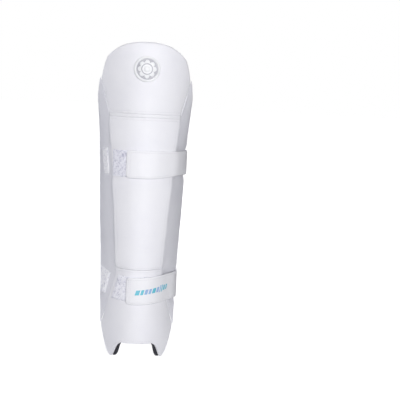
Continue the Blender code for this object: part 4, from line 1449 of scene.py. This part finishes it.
strap("upper", UPPER_STRAP_Z, upper_form, [], tab_end_x=-30.0, calf_y=80.0, rear_x=78.0,
      pull=3.2, aside_x=0.4)
strap("lower", LOWER_STRAP_Z, lower_form,
      [(7.8, 9.6, PRINT), (5.6, 9.6, PRINT), (5.8, 9.6, PRINT_BLUE), (5.2, 9.6, PRINT_BLUE),
       (7.6, 9.6, PRINT), (5.6, 9.6, PRINT_BLUE), (2.8, 13.0, PRINT_BLUE), (2.8, 13.0, PRINT),
       (5.2, 9.6, PRINT), (4.2, 9.6, PRINT)],
      tab_end_x=-21.5, calf_y=60.0, rear_x=68.0, pull=3.5, aside_x=-0.8)

# ------------------------------------------------------------------ inner cushions
CUSHION_VOXEL = 0.005   # metres
CLOTH_FRAMES = 20


def coordinates(mesh):
    flat = np.empty(len(mesh.vertices) * 3)
    mesh.vertices.foreach_get("co", flat)
    return flat.reshape(-1, 3)


def set_coordinates(mesh, points):
    mesh.vertices.foreach_set("co", points.ravel())
    mesh.update()


def bake_modifiers(obj):
    graph = bpy.context.evaluated_depsgraph_get()
    baked = bpy.data.meshes.new_from_object(obj.evaluated_get(graph))
    obj.modifiers.clear()
    obj.data = baked


def remesh(obj):
    modifier = obj.modifiers.new("remesh", "REMESH")
    modifier.mode = "VOXEL"
    modifier.voxel_size = CUSHION_VOXEL
    modifier.use_smooth_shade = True
    bake_modifiers(obj)


def swell(obj, cap):
    """Inflate the cushion as cloth, holding each point within cap metres of its start."""
    start = coordinates(obj.data)
    cloth = obj.modifiers.new("cloth", "CLOTH")
    settings = cloth.settings
    settings.quality = 5
    settings.mass = 0.15
    settings.tension_stiffness = settings.compression_stiffness = 12
    settings.shear_stiffness = 5
    settings.bending_stiffness = 0.4
    settings.use_pressure = True
    settings.uniform_pressure_force = 4.0
    settings.effector_weights.gravity = 0.0
    cloth.collision_settings.use_collision = False
    cloth.collision_settings.use_self_collision = False
    cloth.point_cache.frame_start, cloth.point_cache.frame_end = 1, CLOTH_FRAMES
    scene = bpy.context.scene
    for frame in range(1, CLOTH_FRAMES + 1):
        scene.frame_set(frame)
    swollen = obj.evaluated_get(bpy.context.evaluated_depsgraph_get())
    move = coordinates(swollen.to_mesh()) - start
    swollen.to_mesh_clear()
    obj.modifiers.clear()
    scene.frame_set(1)
    size = np.linalg.norm(move, axis=1, keepdims=True)
    set_coordinates(obj.data, start + move / np.maximum(size, 1e-9) * cap * np.tanh(size / cap))


def soften(points, mesh, passes=5):
    """Draw each point towards the mean of its neighbours."""
    ends = np.array([edge.vertices[:] for edge in mesh.edges])
    first, second = ends[:, 0], ends[:, 1]
    count = np.maximum(np.bincount(ends.ravel(), minlength=len(points))[:, None], 1)
    for _ in range(passes):
        total = np.zeros_like(points)
        np.add.at(total, first, points[second])
        np.add.at(total, second, points[first])
        points = points * 0.45 + total / count * 0.55
    return points


def cushion(node, body, half, low, high, depth, back_y=None, channels=(), crown=None, cap=0.004):
    """A stuffed cushion on the lining at the given depth. Its back is flat at back_y, with sewn
    channels at the given heights, or else is a roll that stands crown high."""
    def place(across, up, layer):
        x, z = across * half, between(up, low, high)
        if layer and crown:
            arch = np.sqrt(np.maximum(0.0, 1 - (2 * up - 1) ** 2)) * (1 - 0.85 * across**6)
            return front(x * 0.97, z, depth + 1.6 + (crown + 0.4) * arch)
        points = front(x, z, depth)
        if layer:
            points[:, 1] = back_y
        return points

    obj = slab(f"{node}_pad", both_sides(26), steps(max(12, int((high - low) / 4))), place,
               CLOTH, layers=2)
    remesh(obj)
    swell(obj, cap)
    points = soften(coordinates(obj.data) / METRES + ORIGIN, obj.data)

    # press the sewn channels into the back
    away = np.clip((points[:, 1] - front(points[:, 0], points[:, 2], depth)[:, 1]) / 6.0, 0, 1)
    groove = np.zeros(len(points))
    for channel_z in channels:
        groove = np.maximum(groove, bell(points[:, 2] - channel_z, 4.2))
    points[:, 1] -= groove * away * 3.4
    # hardly further back than the rest face, and never through the lining
    if back_y is not None:
        over = points[:, 1] > back_y
        points[over, 1] = back_y + 0.15 * (points[over, 1] - back_y)
    skin = front(points[:, 0], points[:, 2], depth - 0.6)
    points[:, 1] = np.maximum(points[:, 1], skin[:, 1])
    set_coordinates(obj.data, (points - ORIGIN) * METRES)

    subdivision = obj.modifiers.new("fine", "SUBSURF")
    subdivision.levels = subdivision.render_levels = 1
    bake_modifiers(obj)
    write_uv(obj.data, coordinates(obj.data)[:, [0, 2]])
    obj.data.materials.clear()
    obj.data.materials.append(CLOTH)
    obj.data.shade_smooth()
    ride(obj, body, node)


cushion("shin_cushion", "shin", half=37.0, low=193.0, high=435.0, depth=15.4, back_y=-31.4,
        channels=(253.0, 314.0, 375.0))
cushion("ankle_cushion", "shin", half=22.5, low=120.0, high=163.0, depth=13.1, back_y=-35.4)
cushion("instep_cushion", "instep", half=29.0, low=55.0, high=96.0, depth=13.1, back_y=-38.4)
for node, low in (("knee_roll_lower", 479.0), ("knee_roll_upper", 520.0)):
    cushion(node, "knee", half=57.0, low=low, high=low + 34.0, depth=15.4, crown=9.0, cap=0.003)

# ------------------------------------------------------------------ studio, in metres
FLOOR_Z = cad_box[0][2] - 0.0006
FLOOR_RADII = (0.4, 1.0, 3.0, 12.0, 60.0)
FLOOR_SIDES = 48


def floor():
    """A pale floor that fades into the white background, keeping only a soft contact shadow."""
    points, faces = [(0.0, 0.0, FLOOR_Z)], []
    for radius in FLOOR_RADII:
        points += [(radius * math.cos(angle), radius * math.sin(angle), FLOOR_Z)
                   for angle in np.arange(FLOOR_SIDES) * 2 * math.pi / FLOOR_SIDES]
    for i in range(FLOOR_SIDES):
        j = (i + 1) % FLOOR_SIDES
        faces.append((0, 1 + i, 1 + j))
        for k in range(len(FLOOR_RADII) - 1):
            ring = 1 + FLOOR_SIDES * k
            following = ring + FLOOR_SIDES
            faces.append((ring + i, following + i, following + j, ring + j))
    mesh = bpy.data.meshes.new("studio_floor")
    mesh.from_pydata(points, [], faces)
    mesh.shade_smooth()
    mat, nodes = new_material("studio_paper")
    paper = nodes.ramp(nodes.noise(nodes.coords(), scale=3.0),
                       [(0.0, (0.42, 0.42, 0.43)), (1.0, (0.46, 0.46, 0.47))])
    seen = nodes.add("ShaderNodeLightPath", {}).outputs["Is Camera Ray"]
    reach = nodes.add("ShaderNodeVectorMath", {0: nodes.coords()}, operation="LENGTH")
    glow = nodes.span(reach.outputs["Value"], start=0.3, end=1.8, low=0.80, high=1.1)
    nodes.surface({"Base Color": paper, "Roughness": 0.95, "Specular IOR Level": 0.0,
                   "Emission Color": (1, 1, 1, 1), "Emission Strength": nodes.times(seen, glow)})
    mesh.materials.append(mat)
    link("studio_floor", mesh)


def area(name, place, target, size, power, colour):
    light = bpy.data.lights.new(name, "AREA")
    light.shape = "RECTANGLE"
    light.size, light.size_y = size
    light.energy = power
    light.color = colour
    obj = link(name, light)
    obj.location = place
    obj.visible_camera = False
    aim = Vector(target) - Vector(place)
    obj.rotation_euler = aim.to_track_quat("-Z", "Y").to_euler()


def surroundings():
    """White to the camera; a dim bluish light to the pad, brighter on its left."""
    scene_world = bpy.data.worlds.new("studio_world")
    bpy.context.scene.world = scene_world
    scene_world.use_nodes = True
    nodes = Nodes(scene_world.node_tree)
    background = nodes.tree.nodes["Background"]
    toward = nodes.add("ShaderNodeSeparateXYZ", {0: nodes.coords("Generated")}).outputs[0]
    strength = nodes.span(toward, start=-1.0, end=1.0, low=0.10, high=0.06)
    nodes.feed(background, {"Color": (0.90, 0.91, 1.0, 1.0), "Strength": strength})
    shown = nodes.add("ShaderNodeBackground", {"Color": (1, 1, 1, 1), "Strength": 1.0})
    seen = nodes.add("ShaderNodeLightPath", {}).outputs["Is Camera Ray"]
    mixer = nodes.add("ShaderNodeMixShader", {"Fac": seen, 1: background.outputs[0],
                                              2: shown.outputs[0]})
    nodes.feed(nodes.tree.nodes["World Output"], {"Surface": mixer.outputs[0]})


floor()
area("key", place=(0.38, -3.3, 0.42), target=(0, 0, 0.0), size=(1.4, 1.2), power=95,
     colour=(1.0, 1.0, 1.0))
area("top", place=(0.0, -0.25, 2.4), target=(0, 0, 0.1), size=(1.2, 0.8), power=14,
     colour=(0.98, 0.98, 1.0))
area("side_left", place=(-2.3, 1.25, 0.5), target=(0, 0, 0.0), size=(0.9, 1.6), power=24,
     colour=(0.94, 0.95, 1.0))
area("fill_back", place=(0.5, 2.6, 1.3), target=(0, 0, 0.0), size=(1.8, 1.6), power=42,
     colour=(0.97, 0.98, 1.0))
surroundings()
bpy.context.scene.view_settings.view_transform = "Standard"
bpy.context.scene.view_settings.look = "None"

# ------------------------------------------------------------------ camera
# in front of the pad at the height of the knee, turned so that the pad stands left of the middle;
# places are in the drawing frame and the roll is in radians
CAMERA_PLACE = (-26.3, -1561.5, 493.4)
CAMERA_TARGET = (110.2, -45.0, 310.8)
CAMERA_ROLL = 0.0488
CAMERA_FIELD = math.radians(27.81)

camera = bpy.data.cameras.new("camera")
camera.sensor_width = 36.0
camera.angle = CAMERA_FIELD
camera.clip_start = 0.05
camera_object = link("camera", camera)
camera_place = Vector(world(*CAMERA_PLACE))
camera_aim = (Vector(world(*CAMERA_TARGET)) - camera_place).to_track_quat("-Z", "Y")
camera_turn = camera_aim.to_matrix().to_4x4() @ Matrix.Rotation(CAMERA_ROLL, 4, "Z")
camera_object.matrix_world = Matrix.Translation(camera_place) @ camera_turn
bpy.context.scene.camera = camera_object
